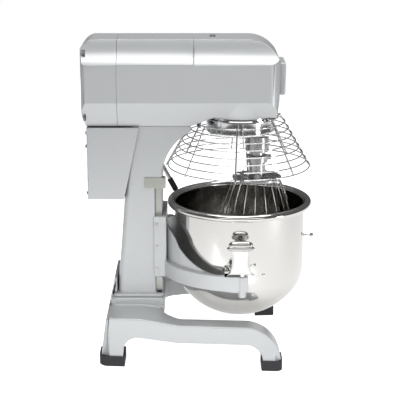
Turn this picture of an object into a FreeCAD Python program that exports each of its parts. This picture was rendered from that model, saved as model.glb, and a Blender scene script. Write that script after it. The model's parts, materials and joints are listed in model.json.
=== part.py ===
"""Bench-top planetary stand mixer, built as separate pieces in one parametric document.

The origin lies on the floor under the middle of the machine. +X points to the
nose, +Y to the side with the controls and +Z up. Lengths are in millimetres.
"""
import FreeCAD, Part
import math
import os
import Sketcher

Vector = FreeCAD.Vector
Rotation = FreeCAD.Rotation
Placement = FreeCAD.Placement
UP = Vector(0, 0, 1)

# Driving dimensions. Reaches are measured back from the planetary axis.
DIMENSIONS = {
    # Planetary axis and head casting
    "axis_x": 101,
    "head_half_width": 100,
    "head_neck_half_width": 72,
    "head_plateau_half_width": 59,
    "head_plateau_z": 776,
    "head_crease_z": 721,
    "head_side_foot_z": 630,
    "head_bottom_z": 570,
    "head_rear_reach": 387,
    "head_rear_crown": 10,
    "head_rear_corner": 16,
    "screw_pocket_radius": 10,
    "screw_pocket_depth": 16,
    "screw_pocket_wall": 3,
    "head_nose_reach": 93,
    "head_nose_corner": 36,
    "head_nose_flat_start": 21,
    "head_wall": 6,
    "chin_bottom_z": 588,
    "chin_radius": 100,
    "chin_bottom_radius": 88.8,
    "chin_nose_reach": 91,
    "cover_seam_reach": 296,
    "lid_seam_reach": 113,
    "seam_gap": 0.6,
    # Drive train
    "bearing_web_z": 622,
    "bearing_web_thickness": 10,
    "bearing_boss_top_z": 682,
    "bearing_boss_wall": 8,
    "bearing_outer_radius": 26,
    "bearing_height": 15,
    "main_shaft_radius": 15,
    "main_shaft_top_z": 736,
    "running_fit": 0.05,
    "gear_module": 1.75,
    "ring_teeth": 70,
    "planet_teeth": 21,
    "gear_bottom_z": 600,
    "gear_height": 18,
    "gear_backlash": 0.5,
    "ring_outer_radius": 84,
    "pulley_bottom_z": 712,
    "pulley_height": 18,
    "driven_pulley_radius": 64,
    "motor_pulley_radius": 24,
    "pulley_groove_depth": 8,
    "belt_clearance": 0.4,
    "motor_reach": 225,
    "motor_radius": 68,
    "motor_bottom_z": 606,
    "motor_top_z": 694,
    "motor_plate_thickness": 8,
    "motor_shaft_radius": 9,
    "fan_radius": 50,
    "fan_bottom_z": 588,
    "fan_height": 12,
    # Planetary and tool shaft
    "carrier_radius": 81,
    "carrier_bottom_z": 556,
    "carrier_top_z": 586,
    "carrier_hub_radius": 22,
    "carrier_hub_top_z": 619,
    "carrier_boss_radius": 30,
    "carrier_boss_bottom_z": 538,
    "collar_radius": 83.8,
    "collar_bottom_z": 546,
    "tool_shaft_radius": 15,
    "tool_shaft_bottom_z": 501,
    "cross_pin_radius": 4,
    "cross_pin_z": 513,
    "whisk_hub_radius": 29,
    "whisk_hub_top_z": 531,
    "whisk_hub_bottom_z": 493,
    "whisk_neck_radius": 21,
    "whisk_collar_radius": 26,
    "whisk_disc_radius": 61,
    "whisk_disc_z": 426,
    "whisk_disc_thickness": 6,
    "whisk_radius": 92,
    "whisk_widest_z": 262,
    "whisk_depth": 88,
    "whisk_wire": 2.6,
    "whisk_loops": 9,
    "whisk_bore_fit": 0.1,
    # Column and its slide way
    "column_front_reach": 191,
    "column_half_width": 70,
    "column_way_half_width": 56,
    "column_way_depth": 17,
    "column_bottom_z": 140,
    "column_wall": 6,
    "column_corner": 14,
    "column_rear_low_reach": 301,
    "column_rear_high_reach": 268,
    "column_arc_bottom_z": 440,
    "column_arc_radius": 130,
    "way_thickness": 4,
    "way_bottom_z": 150,
    "slide_clearance": 0.3,
    # Bowl carriage and lift
    "saddle_bottom_z": 190,
    "saddle_top_z": 345,
    "saddle_front_reach": 181,
    "saddle_half_width": 76,
    "cradle_outer_radius": 200,
    "cradle_band": 13,
    "cradle_bottom_z": 193,
    "cradle_top_z": 231,
    "cradle_tip": 17,
    "cradle_back_radius": 186,
    "cradle_back_wall": 6,
    "cradle_back_top_z": 322,
    "lift_travel": 70,
    "lift_pivot_reach": 212,
    "lift_pivot_z": 458,
    "lift_module": 4,
    "lift_teeth": 20,
    "lift_gear_width": 14,
    "lift_shaft_radius": 8,
    "lift_lever_y": 122,
    "lift_lever_length": 104,
    "lift_lever_radius": 5.5,
    "lift_lever_dip": 62,
    "lift_grip_radius": 7.5,
    "rack_thickness": 6,
    # Bowl
    "bowl_radius": 161,
    "bowl_wall": 1.8,
    "bowl_rim_z": 366,
    "bowl_rim_roll": 9,
    "bowl_knuckle_z": 205,
    "bowl_knuckle": 100,
    "bowl_bottom_z": 75,
    "handle_grip_length": 68,
    "handle_grip_radius": 12,
    "handle_grip_z": 309,
    "handle_grip_y": 203,
    "handle_neck_width": 42,
    "handle_plate": 5,
    "lug_front": 17,
    "lug_rear": 41,
    "lug_outer_y": 199,
    "lug_top_z": 256,
    "stud_z": 276,
    "stud_radius": 2.5,
    "stud_ball_radius": 5.5,
    "stud_reach": 182.5,
    # Guard
    "guard_rings": 8,
    "guard_bottom_radius": 177.3,
    "guard_step_in": 8.9,
    "guard_bottom_z": 460,
    "guard_step_up": 15.6,
    "guard_wire": 1.9,
    "guard_rib": 2.5,
    "guard_nesting": 5,
    "track_radius": 88.8,
    "track_flange_radius": 95,
    "track_wall": 2.5,
    "track_height": 8.5,
    # Base and feet
    "base_rear_reach": 323,
    "base_rear_half_width": 187,
    "base_front_half_width": 219,
    "base_inner_half_width": 150,
    "base_inner_front_half_width": 165,
    "base_front_reach": 97,
    "base_root_reach": 193,
    "base_root_corner": 65,
    "base_top_z": 122,
    "leg_top_z": 108,
    "leg_under_z": 63,
    "foot_height": 26,
    "foot_wall": 3,
    "foot_sole": 6,
    # Electrical box
    "box_bottom_z": 390,
    "box_top_z": 567,
    "box_rear_reach": 371,
    "box_half_width": 80,
    "box_wall": 2.5,
    # Controls on the far side
    "panel_thickness": 3,
    "button_radius": 11,
    "button_travel": 4,
    "button_clearance": 0.3,
    "knob_radius": 18,
    "speed_lever_radius": 5,
    "reset_radius": 4,
    "reset_travel": 2,
}


class Size(float):
    """A number in mm that also carries the sheet formula which gives it."""

    def __new__(cls, number, formula=None):
        item = super().__new__(cls, number)
        item.formula = formula or repr(float(number))
        return item

    def _with(self, number, left, sign, right):
        return Size(number, f"({formula_of(left)} {sign} {formula_of(right)})")

    def __add__(self, other):
        return self._with(float(self) + float(other), self, "+", other)

    def __radd__(self, other):
        return self._with(float(other) + float(self), other, "+", self)

    def __sub__(self, other):
        return self._with(float(self) - float(other), self, "-", other)

    def __rsub__(self, other):
        return self._with(float(other) - float(self), other, "-", self)

    def __mul__(self, other):
        return self._with(float(self) * float(other), self, "*", other)

    def __rmul__(self, other):
        return self._with(float(other) * float(self), other, "*", self)

    def __truediv__(self, other):
        return self._with(float(self) / float(other), self, "/", other)

    def __neg__(self):
        return self._with(-float(self), 0, "-", self)


def formula_of(value):
    """The sheet formula of a size, or the plain number."""
    return value.formula if isinstance(value, Size) else repr(float(value))


doc = FreeCAD.newDocument("StandMixer")
sheet = doc.addObject("Spreadsheet::Sheet", "Sizes")
for row, (alias, number) in enumerate(DIMENSIONS.items(), start=1):
    sheet.set(f"A{row}", alias)
    sheet.set(f"B{row}", str(number))
    sheet.setAlias(f"B{row}", alias)
doc.recompute()


class Sheet:
    """Reads a driving dimension of the sheet by its alias."""

    def __getattr__(self, alias):
        return Size(float(sheet.get(alias)), f"Sizes.{alias}")


mm = Sheet()
nodes = []


def node(item):
    """Mark an object of the document as one piece of the mixer."""
    nodes.append(item)
    return item


def bind(item, prop, value):
    """Tie one property of an object to the sheet."""
    item.setExpression(prop, formula_of(value))


def place(item, at, rotation=None):
    """Put an object at a point, with its coordinates tied to the sheet."""
    item.Placement = Placement(Vector(*at), rotation or Rotation())
    for letter, value in zip("xyz", at):
        bind(item, f"Placement.Base.{letter}", value)
    return item


TOWARD = {"X": Rotation(Vector(0, 1, 0), 90), "Y": Rotation(Vector(1, 0, 0), -90), "Z": Rotation()}


def cylinder(label, radius, length, at, toward="Z"):
    """A solid cylinder that starts at a point and runs along +X, +Y or +Z."""
    item = doc.addObject("Part::Cylinder", label)
    bind(item, "Radius", radius)
    bind(item, "Height", length)
    return place(item, at, TOWARD[toward])


def block(label, at, length, width, height):
    """A box between a corner and its opposite, along +X, +Y and +Z."""
    item = doc.addObject("Part::Box", label)
    bind(item, "Length", length)
    bind(item, "Width", width)
    bind(item, "Height", height)
    return place(item, at)


def cut(label, base, *tools):
    """The base with every tool taken out of it."""
    result = base
    for index, tool in enumerate(tools, start=1):
        step = label if index == len(tools) else f"{label}_cut_{index}"
        item = doc.addObject("Part::Cut", step)
        item.Base = result
        item.Tool = tool
        result = item
    return result


def fuse(label, *pieces):
    """One solid made of overlapping pieces."""
    item = doc.addObject("Part::MultiFuse", label)
    item.Shapes = list(pieces)
    return item


def group(label, pieces):
    """Separate solids that share one node."""
    item = doc.addObject("Part::Compound", label)
    item.Links = list(pieces)
    return item


def body_with_sketch(label, plane_role, corners, circles=()):
    """A body whose sketch holds one closed outline and any round holes."""
    body = doc.addObject("PartDesign::Body", label)
    sketch = body.newObject("Sketcher::SketchObject", f"{label}_outline")
    plane = next(item for item in body.Origin.OriginFeatures if item.Role == plane_role)
    sketch.AttachmentSupport = (plane, [""])
    sketch.MapMode = "FlatFace"
    spots = [Vector(float(x), float(y), 0) for x, y in corners]
    count = len(spots)
    for index, spot in enumerate(spots):
        sketch.addGeometry(Part.LineSegment(spot, spots[(index + 1) % count]), False)
    for index in range(count):
        following = (index + 1) % count
        sketch.addConstraint(Sketcher.Constraint("Coincident", index, 2, following, 1))
    for index, corner in enumerate(corners):
        tie_point(sketch, index, 1, corner)
    for x, y, radius in circles:
        circle = sketch.addGeometry(Part.Circle(Vector(float(x), float(y), 0), UP, float(radius)), False)
        tie_point(sketch, circle, 3, (x, y))
        constraint = sketch.addConstraint(Sketcher.Constraint("Radius", circle, float(radius)))
        bind(sketch, f"Constraints[{constraint}]", radius)
    return body, sketch


def tie_point(sketch, geometry, position, corner):
    """Hold one sketch point at sheet distances from the sketch's origin."""
    for kind, value in zip(("DistanceX", "DistanceY"), corner):
        constraint = sketch.addConstraint(
            Sketcher.Constraint(kind, -1, 1, geometry, position, float(value)))
        if isinstance(value, Size):
            bind(sketch, f"Constraints[{constraint}]", value)


def padded(label, plane_role, corners, length, at=(0, 0, 0), circles=(), symmetric=False):
    """A plate with a sketched outline, padded up from its plane or about it."""
    body, sketch = body_with_sketch(label, plane_role, corners, circles)
    pad = body.newObject("PartDesign::Pad", f"{label}_pad")
    pad.Profile = sketch
    bind(pad, "Length", length)
    if symmetric:
        pad.SideType = "Symmetric"
    body.Tip = pad
    sketch.Visibility = False
    return place(body, at)


def turned(label, corners, at=(0, 0, 0), rotation=None):
    """A piece turned about its own Z axis from half of its section."""
    body, sketch = body_with_sketch(label, "XZ_Plane", corners)
    turn = body.newObject("PartDesign::Revolution", f"{label}_turn")
    turn.Profile = sketch
    turn.ReferenceAxis = (sketch, ["V_Axis"])
    turn.Angle = 360
    body.Tip = turn
    sketch.Visibility = False
    return place(body, at, rotation)


def rectangle(x_low, x_high, y_low, y_high):
    """The four corners of a sketched rectangle."""
    return [(x_low, y_low), (x_high, y_low), (x_high, y_high), (x_low, y_high)]


def casting(label, shape, at=None):
    """A free-form piece whose shape the functions below work out from the sheet."""
    item = doc.addObject("Part::Feature", label)
    item.Shape = shape
    if at:
        item.Placement = Placement(Vector(*at), Rotation())
    return item


def lift_point(plane, level, x, y):
    """A point of a flat outline on the XY, XZ or YZ plane at a given level."""
    if plane == "XY":
        return Vector(x, y, level)
    if plane == "XZ":
        return Vector(x, level, y)
    return Vector(level, x, y)


def prism(plane, low, high, start, *steps):
    """Extrude an outline; each step is a point for a line or (middle, end) for an arc."""
    here = lift_point(plane, low, *start)
    edges = []
    for step in list(steps) + [start]:
        if isinstance(step[0], tuple):
            middle = lift_point(plane, low, *step[0])
            end = lift_point(plane, low, *step[1])
            edges.append(Part.Arc(here, middle, end).toShape())
        else:
            end = lift_point(plane, low, *step)
            if end.distanceToPoint(here) < 1e-6:
                continue
            edges.append(Part.makeLine(here, end))
        here = end
    face = Part.Face(Part.Wire(edges))
    return face.extrude(lift_point(plane, high, 0, 0) - lift_point(plane, low, 0, 0))


def disc(radius, low, high, x=0, y=0):
    """A cylinder on the Z axis through x, y."""
    return Part.makeCylinder(radius, high - low, Vector(x, y, low))


def ring(outer, inner, low, high, x=0, y=0):
    """A plain ring on the Z axis through x, y."""
    return disc(outer, low, high, x, y).cut(disc(inner, low - 1, high + 1, x, y))


def brick(x_low, x_high, y_low, y_high, z_low, z_high):
    """A box between two levels on each axis."""
    return Part.makeBox(x_high - x_low, y_high - y_low, z_high - z_low, Vector(x_low, y_low, z_low))


def sector(shape, start, sweep, reach, low, high):
    """The part of a shape that lies within an angle about the Z axis."""
    wedge = Part.makeCylinder(reach, high - low, Vector(0, 0, low), UP, sweep)
    wedge.rotate(Vector(), UP, start)
    return shape.common(wedge)


def polar(radius, degrees, z=0):
    """A point at a radius and an angle about the planetary axis."""
    angle = math.radians(degrees)
    return Vector(radius * math.cos(angle), radius * math.sin(angle), z)


def rod(start, end, radius):
    """A straight round bar between two points."""
    return Part.makeCylinder(radius, (end - start).Length, start, end - start)


AXIS = (mm.axis_x, 0, 0)
MIRRORS = {"left": 1, "right": -1}


# Head casting. Shapes here have the planetary axis at X = 0.

def head_section(inset):
    """The head's cross-section run from end to end, all faces moved in by an inset."""
    side = mm.head_half_width - inset
    foot = mm.head_neck_half_width - inset
    plateau = mm.head_plateau_half_width - inset
    top = mm.head_plateau_z - inset
    crease = mm.head_crease_z
    cove_y = 0.33 * side + 0.67 * plateau
    cove_z = 0.62 * crease + 0.38 * top
    return prism(
        "YZ", -mm.head_rear_reach - 20, mm.head_nose_reach + 20,
        (-foot, mm.head_bottom_z), (-side, mm.head_side_foot_z), (-side, crease),
        ((-cove_y, cove_z), (-plateau, top)), (plateau, top),
        ((cove_y, cove_z), (side, crease)), (side, mm.head_side_foot_z),
        (foot, mm.head_bottom_z))


def head_silhouette(inset):
    """The head seen from the side, run from side to side."""
    rear = -mm.head_rear_reach + inset
    front = mm.head_nose_reach - inset
    top = mm.head_plateau_z - inset
    crease = mm.head_crease_z
    bottom = mm.head_bottom_z
    neck = 73
    rise = 22
    half = mm.head_half_width + 20
    start = mm.head_nose_flat_start
    return prism(
        "XZ", -half, half,
        (rear + 15, bottom), (rear + 5, bottom + 25), (rear, bottom + 62), (rear, crease + 4),
        ((rear + 10, top - 12), (rear + 30, top)), (start, top),
        ((start + 49 - inset, top - 19), (front, top - 52)), (front, top - 76),
        (front - 2, mm.head_side_foot_z), (front - 8, bottom + rise),
        (-65, bottom + rise), (-mm.column_front_reach + neck, bottom))


def head_plan(inset):
    """The head seen from above, run from the neck to the plateau."""
    half = mm.head_half_width + 1 - inset
    rear = -mm.head_rear_reach + inset
    front = mm.head_nose_reach + 1 - inset
    corner = mm.head_nose_corner - inset
    mitre = 1 - math.sqrt(0.5)
    diagonal = corner * mitre
    bend = mm.head_rear_corner - inset
    crown = mm.head_rear_crown * ((half - bend) / half) ** 2
    return prism(
        "XY", mm.head_bottom_z - 5, mm.head_plateau_z + 5,
        (front - corner, -half),
        ((front - diagonal, -half + diagonal), (front, -half + corner)), (front, half - corner),
        ((front - diagonal, half - diagonal), (front - corner, half)),
        (rear + mm.head_rear_crown + bend, half),
        ((rear + crown + bend * mitre, half - bend * mitre), (rear + crown, half - bend)),
        ((rear, 0), (rear + crown, bend - half)),
        ((rear + crown + bend * mitre, bend * mitre - half),
         (rear + mm.head_rear_crown + bend, -half)))


def head_solid(inset):
    """The whole head as one solid, all faces moved in by an inset."""
    return head_section(inset).common(head_silhouette(inset)).common(head_plan(inset))


def chin_solid(inset):
    """The turned skirt that carries the planetary under the nose."""
    half = mm.chin_radius - 2 - inset
    front = mm.chin_nose_reach - inset
    radius = mm.chin_radius - inset
    corner = mm.head_nose_corner - inset
    diagonal = corner * (1 - math.sqrt(0.5))
    back = math.sqrt(radius ** 2 - half ** 2)
    top = mm.head_side_foot_z + 2
    cone = Part.makeCone(mm.chin_bottom_radius - inset, radius, top - mm.chin_bottom_z,
                         Vector(0, 0, mm.chin_bottom_z))
    return cone.common(prism(
        "XY", mm.chin_bottom_z, top,
        (-back, -half), (front - corner, -half),
        ((front - diagonal, -half + diagonal), (front, -half + corner)), (front, half - corner),
        ((front - diagonal, half - diagonal), (front - corner, half)), (-back, half),
        ((-radius, 0), (-back, -half))))


GUARD_MARGIN = 4.0
guard_top_radius = mm.guard_bottom_radius - (mm.guard_rings - 1) * mm.guard_step_in
guard_top_z = mm.guard_bottom_z + (mm.guard_rings - 1) * mm.guard_step_up
guard_sweep_top = guard_top_z + 2 * GUARD_MARGIN


def guard_sweep(margin):
    """The space that the turning guard needs, as a solid of revolution."""
    rings = mm.guard_rings - 1
    low_radius = mm.guard_bottom_radius + 2 * mm.guard_wire + 2 * mm.guard_rib + margin
    high_radius = low_radius - mm.guard_step_in * rings
    low_z = mm.guard_bottom_z - margin
    high_z = mm.guard_bottom_z + mm.guard_step_up * rings
    section = [Vector(0, 0, low_z), Vector(low_radius, 0, low_z), Vector(high_radius, 0, high_z),
               Vector(high_radius, 0, guard_sweep_top), Vector(0, 0, guard_sweep_top)]
    face = Part.Face(Part.makePolygon(section + section[:1]))
    return face.revolve(Vector(), UP, 360)


head_outer = head_solid(0).fuse(chin_solid(0)).removeSplitter()
head_inner = head_solid(mm.head_wall)
head_shell = head_outer.cut(head_inner)

seam = mm.seam_gap / 2
cover_seam = -mm.cover_seam_reach
lid_seam = -mm.lid_seam_reach
far = mm.head_rear_reach + 100
behind = brick(-far, cover_seam - seam, -far, far, 0, 900)
lid_box = brick(cover_seam + seam, lid_seam - seam, -far, far, mm.head_crease_z + seam, 900)
lid_room = brick(cover_seam - seam, lid_seam + seam, -far, far, mm.head_crease_z - seam, 900)

pocket_spots = [(sign * y, z) for sign in (-1, 1) for y, z in ((68.0, 743.0), (82.0, 594.0))]
pocket_floor = mm.screw_pocket_depth - mm.head_rear_reach


def rear_cover_shape():
    """The rear cover with a round screw pocket sunk in each of its corners."""
    toward = Vector(1, 0, 0)
    body = head_shell.common(behind)
    cup_radius = mm.screw_pocket_radius + mm.screw_pocket_wall
    start = -mm.head_rear_reach - 5
    for y, z in pocket_spots:
        cup = Part.makeCylinder(cup_radius, pocket_floor + mm.screw_pocket_wall - start,
                                Vector(start, y, z), toward)
        body = body.fuse(cup.common(head_solid(0)))
    for y, z in pocket_spots:
        body = body.cut(Part.makeCylinder(mm.screw_pocket_radius, pocket_floor - start,
                                          Vector(start, y, z), toward))
    return body.removeSplitter()


lid_shape = head_shell.common(lid_box)

panel_x = -95.0
panel_length = 120.0
panel_z = 652.0
panel_height = 54.0
button_z = panel_z + panel_height / 2
start_x = panel_x + 22
stop_x = panel_x + 52
timer_x = panel_x + 91
wall_y = mm.head_half_width
switch_hole = mm.button_radius + mm.button_clearance
speed_x = 46.0
speed_z = 668.0


def head_housing_shape():
    """The front casting with its bearing web, chin bores and control holes."""
    shell = head_shell.cut(brick(-far, cover_seam + seam, -far, far, 0, 900)).cut(lid_room)
    web = head_solid(0.5).fuse(chin_solid(0.5)).common(
        brick(-115, mm.head_nose_reach, -far, far, mm.bearing_web_z,
              mm.bearing_web_z + mm.bearing_web_thickness))
    skirt = chin_solid(0).common(
        brick(-far, far, -far, far, mm.chin_bottom_z, mm.bearing_web_z + 1))
    boss = disc(mm.bearing_outer_radius + mm.bearing_boss_wall, mm.bearing_web_z,
                mm.bearing_boss_top_z)
    ledge_top = mm.motor_top_z
    ledge = head_solid(0.5).common(
        brick(cover_seam + 2, lid_seam - 20, -far, far, ledge_top - 10, ledge_top))
    ledge = ledge.cut(brick(-far, far, -mm.motor_radius - 12, mm.motor_radius + 12, 0, 900))
    floor = head_solid(0).common(
        brick(-mm.column_front_reach + 63, -60, -far, far, 560, guard_sweep_top + 8))
    body = shell.multiFuse([web, skirt, boss, ledge, floor])
    body = body.cut(disc(mm.track_flange_radius + 13, 0, mm.chin_bottom_z))
    body = body.cut(disc(mm.collar_radius + 2, mm.chin_bottom_z - 1, mm.gear_bottom_z - 6))
    body = body.cut(disc(mm.ring_outer_radius, mm.gear_bottom_z - 7, mm.bearing_web_z))
    body = body.cut(disc(mm.bearing_outer_radius, mm.bearing_web_z - 1, mm.bearing_boss_top_z + 1))
    for x in (start_x, stop_x):
        body = body.cut(Part.makeCylinder(switch_hole, 30, Vector(x, wall_y - 20, button_z),
                                          Vector(0, 1, 0)))
    stem = 4 + mm.running_fit
    body = body.cut(Part.makeCylinder(stem, 30, Vector(timer_x, wall_y - 20, button_z),
                                      Vector(0, 1, 0)))
    shaft_hole = mm.speed_lever_radius + mm.running_fit
    body = body.cut(Part.makeCylinder(shaft_hole, 30, Vector(speed_x, wall_y - 20, speed_z),
                                      Vector(0, 1, 0)))
    return body.cut(guard_sweep(GUARD_MARGIN)).removeSplitter()


head_housing = node(casting("head_housing", head_housing_shape(), AXIS))
node(casting("top_cover", lid_shape, AXIS))
node(casting("rear_cover", rear_cover_shape(), AXIS))

hub_height = 78.0
hub_bottom = 641.0
hub_half = 50.0
hub_depth = 14.5
node(padded("attachment_hub_cover", "YZ_Plane",
            rectangle(-hub_half, hub_half, hub_bottom, hub_bottom + hub_height), hub_depth,
            at=(mm.axis_x + mm.head_nose_reach, 0, 0)))

top_plug_reach = 68.0


# Drive train inside the head

pulley_top = mm.pulley_bottom_z + mm.pulley_height


def pulley(label, radius, bore, hub_radius, at):
    """A grooved pulley with a short hub under it."""
    groove = radius - mm.pulley_groove_depth
    bottom = mm.pulley_bottom_z
    middle = bottom + mm.pulley_height / 2
    corners = [(bore, bottom - 8), (hub_radius, bottom - 8), (hub_radius, bottom),
               (radius, bottom), (radius, bottom + 2), (groove, middle - 4),
               (groove, middle + 4), (radius, pulley_top - 2), (radius, pulley_top),
               (bore, pulley_top)]
    return turned(label, corners, at)


node(cylinder("main_shaft", mm.main_shaft_radius, mm.main_shaft_top_z - mm.carrier_bottom_z,
              (mm.axis_x, 0, mm.carrier_bottom_z)))
node(pulley("driven_pulley", mm.driven_pulley_radius, mm.main_shaft_radius, 22, AXIS))


def bearing(label, bore, outer, height, at):
    """One ball bearing as a turned ring with a shallow face recess."""
    middle = (bore + outer) / 2
    corners = [(bore, 0), (middle - 2, 0), (middle - 2, 1), (middle + 2, 1), (middle + 2, 0),
               (outer, 0), (outer, height), (bore, height)]
    return turned(label, corners, at)


shaft_bore = mm.main_shaft_radius + mm.running_fit
bearing_lower_z = mm.bearing_web_z + 2
bearing_upper_z = mm.bearing_boss_top_z - mm.bearing_height - 1
node(group("main_shaft_bearings", [
    bearing("main_bearing_lower", shaft_bore, mm.bearing_outer_radius, mm.bearing_height,
            (mm.axis_x, 0, bearing_lower_z)),
    bearing("main_bearing_upper", shaft_bore, mm.bearing_outer_radius, mm.bearing_height,
            (mm.axis_x, 0, bearing_upper_z))]))

motor_x = mm.axis_x - mm.motor_reach
plate_top = mm.motor_top_z + mm.motor_plate_thickness
plate_half = mm.head_half_width - mm.head_wall
node(padded("motor_plate", "XY_Plane",
            rectangle(-90, 85, -plate_half, plate_half), mm.motor_plate_thickness,
            at=(motor_x, 0, mm.motor_top_z),
            circles=[(0, 0, mm.motor_shaft_radius + 6)]))

casing_wall = 6.0
casing_bore = mm.motor_shaft_radius + mm.running_fit
node(turned("motor_casing", [
    (casing_bore, mm.motor_bottom_z), (mm.motor_radius, mm.motor_bottom_z),
    (mm.motor_radius, mm.motor_top_z), (casing_bore, mm.motor_top_z),
    (casing_bore, mm.motor_top_z - casing_wall),
    (mm.motor_radius - casing_wall, mm.motor_top_z - casing_wall),
    (mm.motor_radius - casing_wall, mm.motor_bottom_z + casing_wall),
    (casing_bore, mm.motor_bottom_z + casing_wall)], at=(motor_x, 0, 0)))

rotor_core = 48.0
rotor_gap = 14.0
node(turned("motor_rotor", [
    (0, mm.fan_bottom_z), (mm.motor_shaft_radius, mm.fan_bottom_z),
    (mm.motor_shaft_radius, mm.motor_bottom_z + rotor_gap),
    (rotor_core, mm.motor_bottom_z + rotor_gap), (rotor_core, mm.motor_top_z - rotor_gap),
    (mm.motor_shaft_radius, mm.motor_top_z - rotor_gap),
    (mm.motor_shaft_radius, pulley_top + 2), (0, pulley_top + 2)], at=(motor_x, 0, 0)))
node(pulley("motor_pulley", mm.motor_pulley_radius, mm.motor_shaft_radius, 14, (motor_x, 0, 0)))


def cooling_fan_shape():
    """A hub and back plate with eight straight blades."""
    bottom = mm.fan_bottom_z
    plate = disc(mm.fan_radius, bottom + mm.fan_height - 2, bottom + mm.fan_height)
    hub = disc(16, bottom, bottom + mm.fan_height)
    blades = []
    for index in range(8):
        blade = brick(14, mm.fan_radius, -1.2, 1.2, bottom, bottom + mm.fan_height - 1)
        blade.rotate(Vector(), UP, 45 * index)
        blades.append(blade)
    fan = plate.multiFuse([hub] + blades)
    return fan.cut(disc(mm.motor_shaft_radius, bottom - 1, bottom + mm.fan_height + 1))


node(casting("cooling_fan", cooling_fan_shape(), (motor_x, 0, 0)))


def belt_shape():
    """A closed belt that runs round both pulleys with a thin gap to their grooves."""
    inner_big = mm.driven_pulley_radius - mm.pulley_groove_depth + mm.belt_clearance
    inner_small = mm.motor_pulley_radius - mm.pulley_groove_depth + mm.belt_clearance
    bottom = mm.pulley_bottom_z + mm.pulley_height / 2 - 3
    top = bottom + 6
    distance = mm.motor_reach
    lean = math.asin((inner_big - inner_small) / distance)

    def loop(growth):
        big = inner_big + growth
        small = inner_small + growth
        sin, cos = math.sin(lean), math.cos(lean)
        return prism(
            "XY", bottom, top,
            (-big * sin, big * cos), ((big, 0), (-big * sin, -big * cos)),
            (-distance - small * sin, -small * cos),
            ((-distance - small, 0), (-distance - small * sin, small * cos)))

    return loop(5).cut(loop(0))


node(casting("drive_belt", belt_shape(), AXIS))


# Gear teeth as straight facets through points of the involute

def involute_outline(teeth, module, outer, root, slack):
    """Corner points of a gear whose teeth are narrowed by a slack at the pitch circle."""
    pitch = module * teeth / 2
    base = pitch * math.cos(math.radians(20))
    at_pitch = math.tan(math.radians(20)) - math.radians(20)
    half = math.pi / 2 / teeth - slack / 2 / pitch + at_pitch
    radii = [max(base, root) + (outer - max(base, root)) * step / 3 for step in range(4)]
    flank = []
    for radius in radii:
        pressure = math.acos(min(1.0, base / radius))
        flank.append((radius, half - (math.tan(pressure) - pressure)))
    if root < base:
        flank.insert(0, (root, flank[0][1]))
    points = []
    for index in range(int(teeth)):
        centre = 2 * math.pi * index / teeth
        for radius, angle in flank:
            points.append((radius * math.cos(centre - angle), radius * math.sin(centre - angle)))
        for radius, angle in reversed(flank):
            points.append((radius * math.cos(centre + angle), radius * math.sin(centre + angle)))
    return points


def toothed_prism(points, low, high):
    """Extrude a closed list of corner points between two levels."""
    corners = [Vector(x, y, low) for x, y in points]
    face = Part.Face(Part.makePolygon(corners + corners[:1]))
    return face.extrude(Vector(0, 0, high - low))


module = mm.gear_module
ring_pitch = module * mm.ring_teeth / 2
planet_pitch = module * mm.planet_teeth / 2
offset = ring_pitch - planet_pitch
gear_top = mm.gear_bottom_z + mm.gear_height


def ring_gear_shape():
    """The fixed internal gear: the cutter is a gear with widened teeth."""
    cutter = involute_outline(mm.ring_teeth, module, ring_pitch + 1.25 * module,
                              ring_pitch - 0.8 * module, -mm.gear_backlash)
    blank = disc(mm.ring_outer_radius, mm.gear_bottom_z, gear_top)
    return blank.cut(toothed_prism(cutter, mm.gear_bottom_z - 1, gear_top + 1))


def planet_gear_shape():
    """The planet pinion on the tool shaft, with a tooth gap facing the ring's tooth."""
    teeth = involute_outline(mm.planet_teeth, module, planet_pitch + 0.8 * module,
                             planet_pitch - 1.25 * module, mm.gear_backlash)
    gear = toothed_prism(teeth, mm.gear_bottom_z, gear_top)
    return gear.cut(disc(mm.tool_shaft_radius, mm.gear_bottom_z - 1, gear_top + 1))


node(casting("ring_gear", ring_gear_shape(), AXIS))


# Planetary

tool_x = mm.axis_x + offset
TOOL = (tool_x, 0, 0)
agitator_bearing_outer = mm.bearing_outer_radius
agitator_bearing_lower_z = mm.carrier_boss_bottom_z + 2
agitator_bearing_upper_z = mm.carrier_top_z - mm.bearing_height


def carrier_shape():
    """The planetary drum with its hub on the main shaft and the tool-shaft boss."""
    drum = disc(mm.carrier_radius, mm.carrier_bottom_z, mm.carrier_top_z)
    hub = disc(mm.carrier_hub_radius, mm.carrier_top_z - 1, mm.carrier_hub_top_z)
    boss = disc(mm.carrier_boss_radius, mm.carrier_boss_bottom_z, mm.carrier_bottom_z + 1, offset)
    body = drum.multiFuse([hub, boss])
    body = body.cut(disc(mm.main_shaft_radius, mm.carrier_bottom_z - 1, mm.carrier_hub_top_z + 1))
    body = body.cut(disc(mm.tool_shaft_radius + 2, mm.carrier_boss_bottom_z - 1,
                         mm.carrier_top_z + 1, offset))
    for low in (agitator_bearing_lower_z, agitator_bearing_upper_z):
        body = body.cut(disc(agitator_bearing_outer, low, low + mm.bearing_height, offset))
    return body


node(casting("planetary_carrier", carrier_shape(), AXIS))
node(group("tool_shaft_bearings", [
    bearing("tool_bearing_lower", mm.tool_shaft_radius + mm.running_fit, agitator_bearing_outer,
            mm.bearing_height, (tool_x, 0, agitator_bearing_lower_z)),
    bearing("tool_bearing_upper", mm.tool_shaft_radius + mm.running_fit, agitator_bearing_outer,
            mm.bearing_height, (tool_x, 0, agitator_bearing_upper_z))]))
collar_top = mm.chin_bottom_z - 2
node(turned("drip_collar", [
    (mm.carrier_radius, mm.collar_bottom_z), (mm.collar_radius, mm.collar_bottom_z),
    (mm.collar_radius, collar_top), (mm.carrier_radius, collar_top)], at=AXIS))

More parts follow.
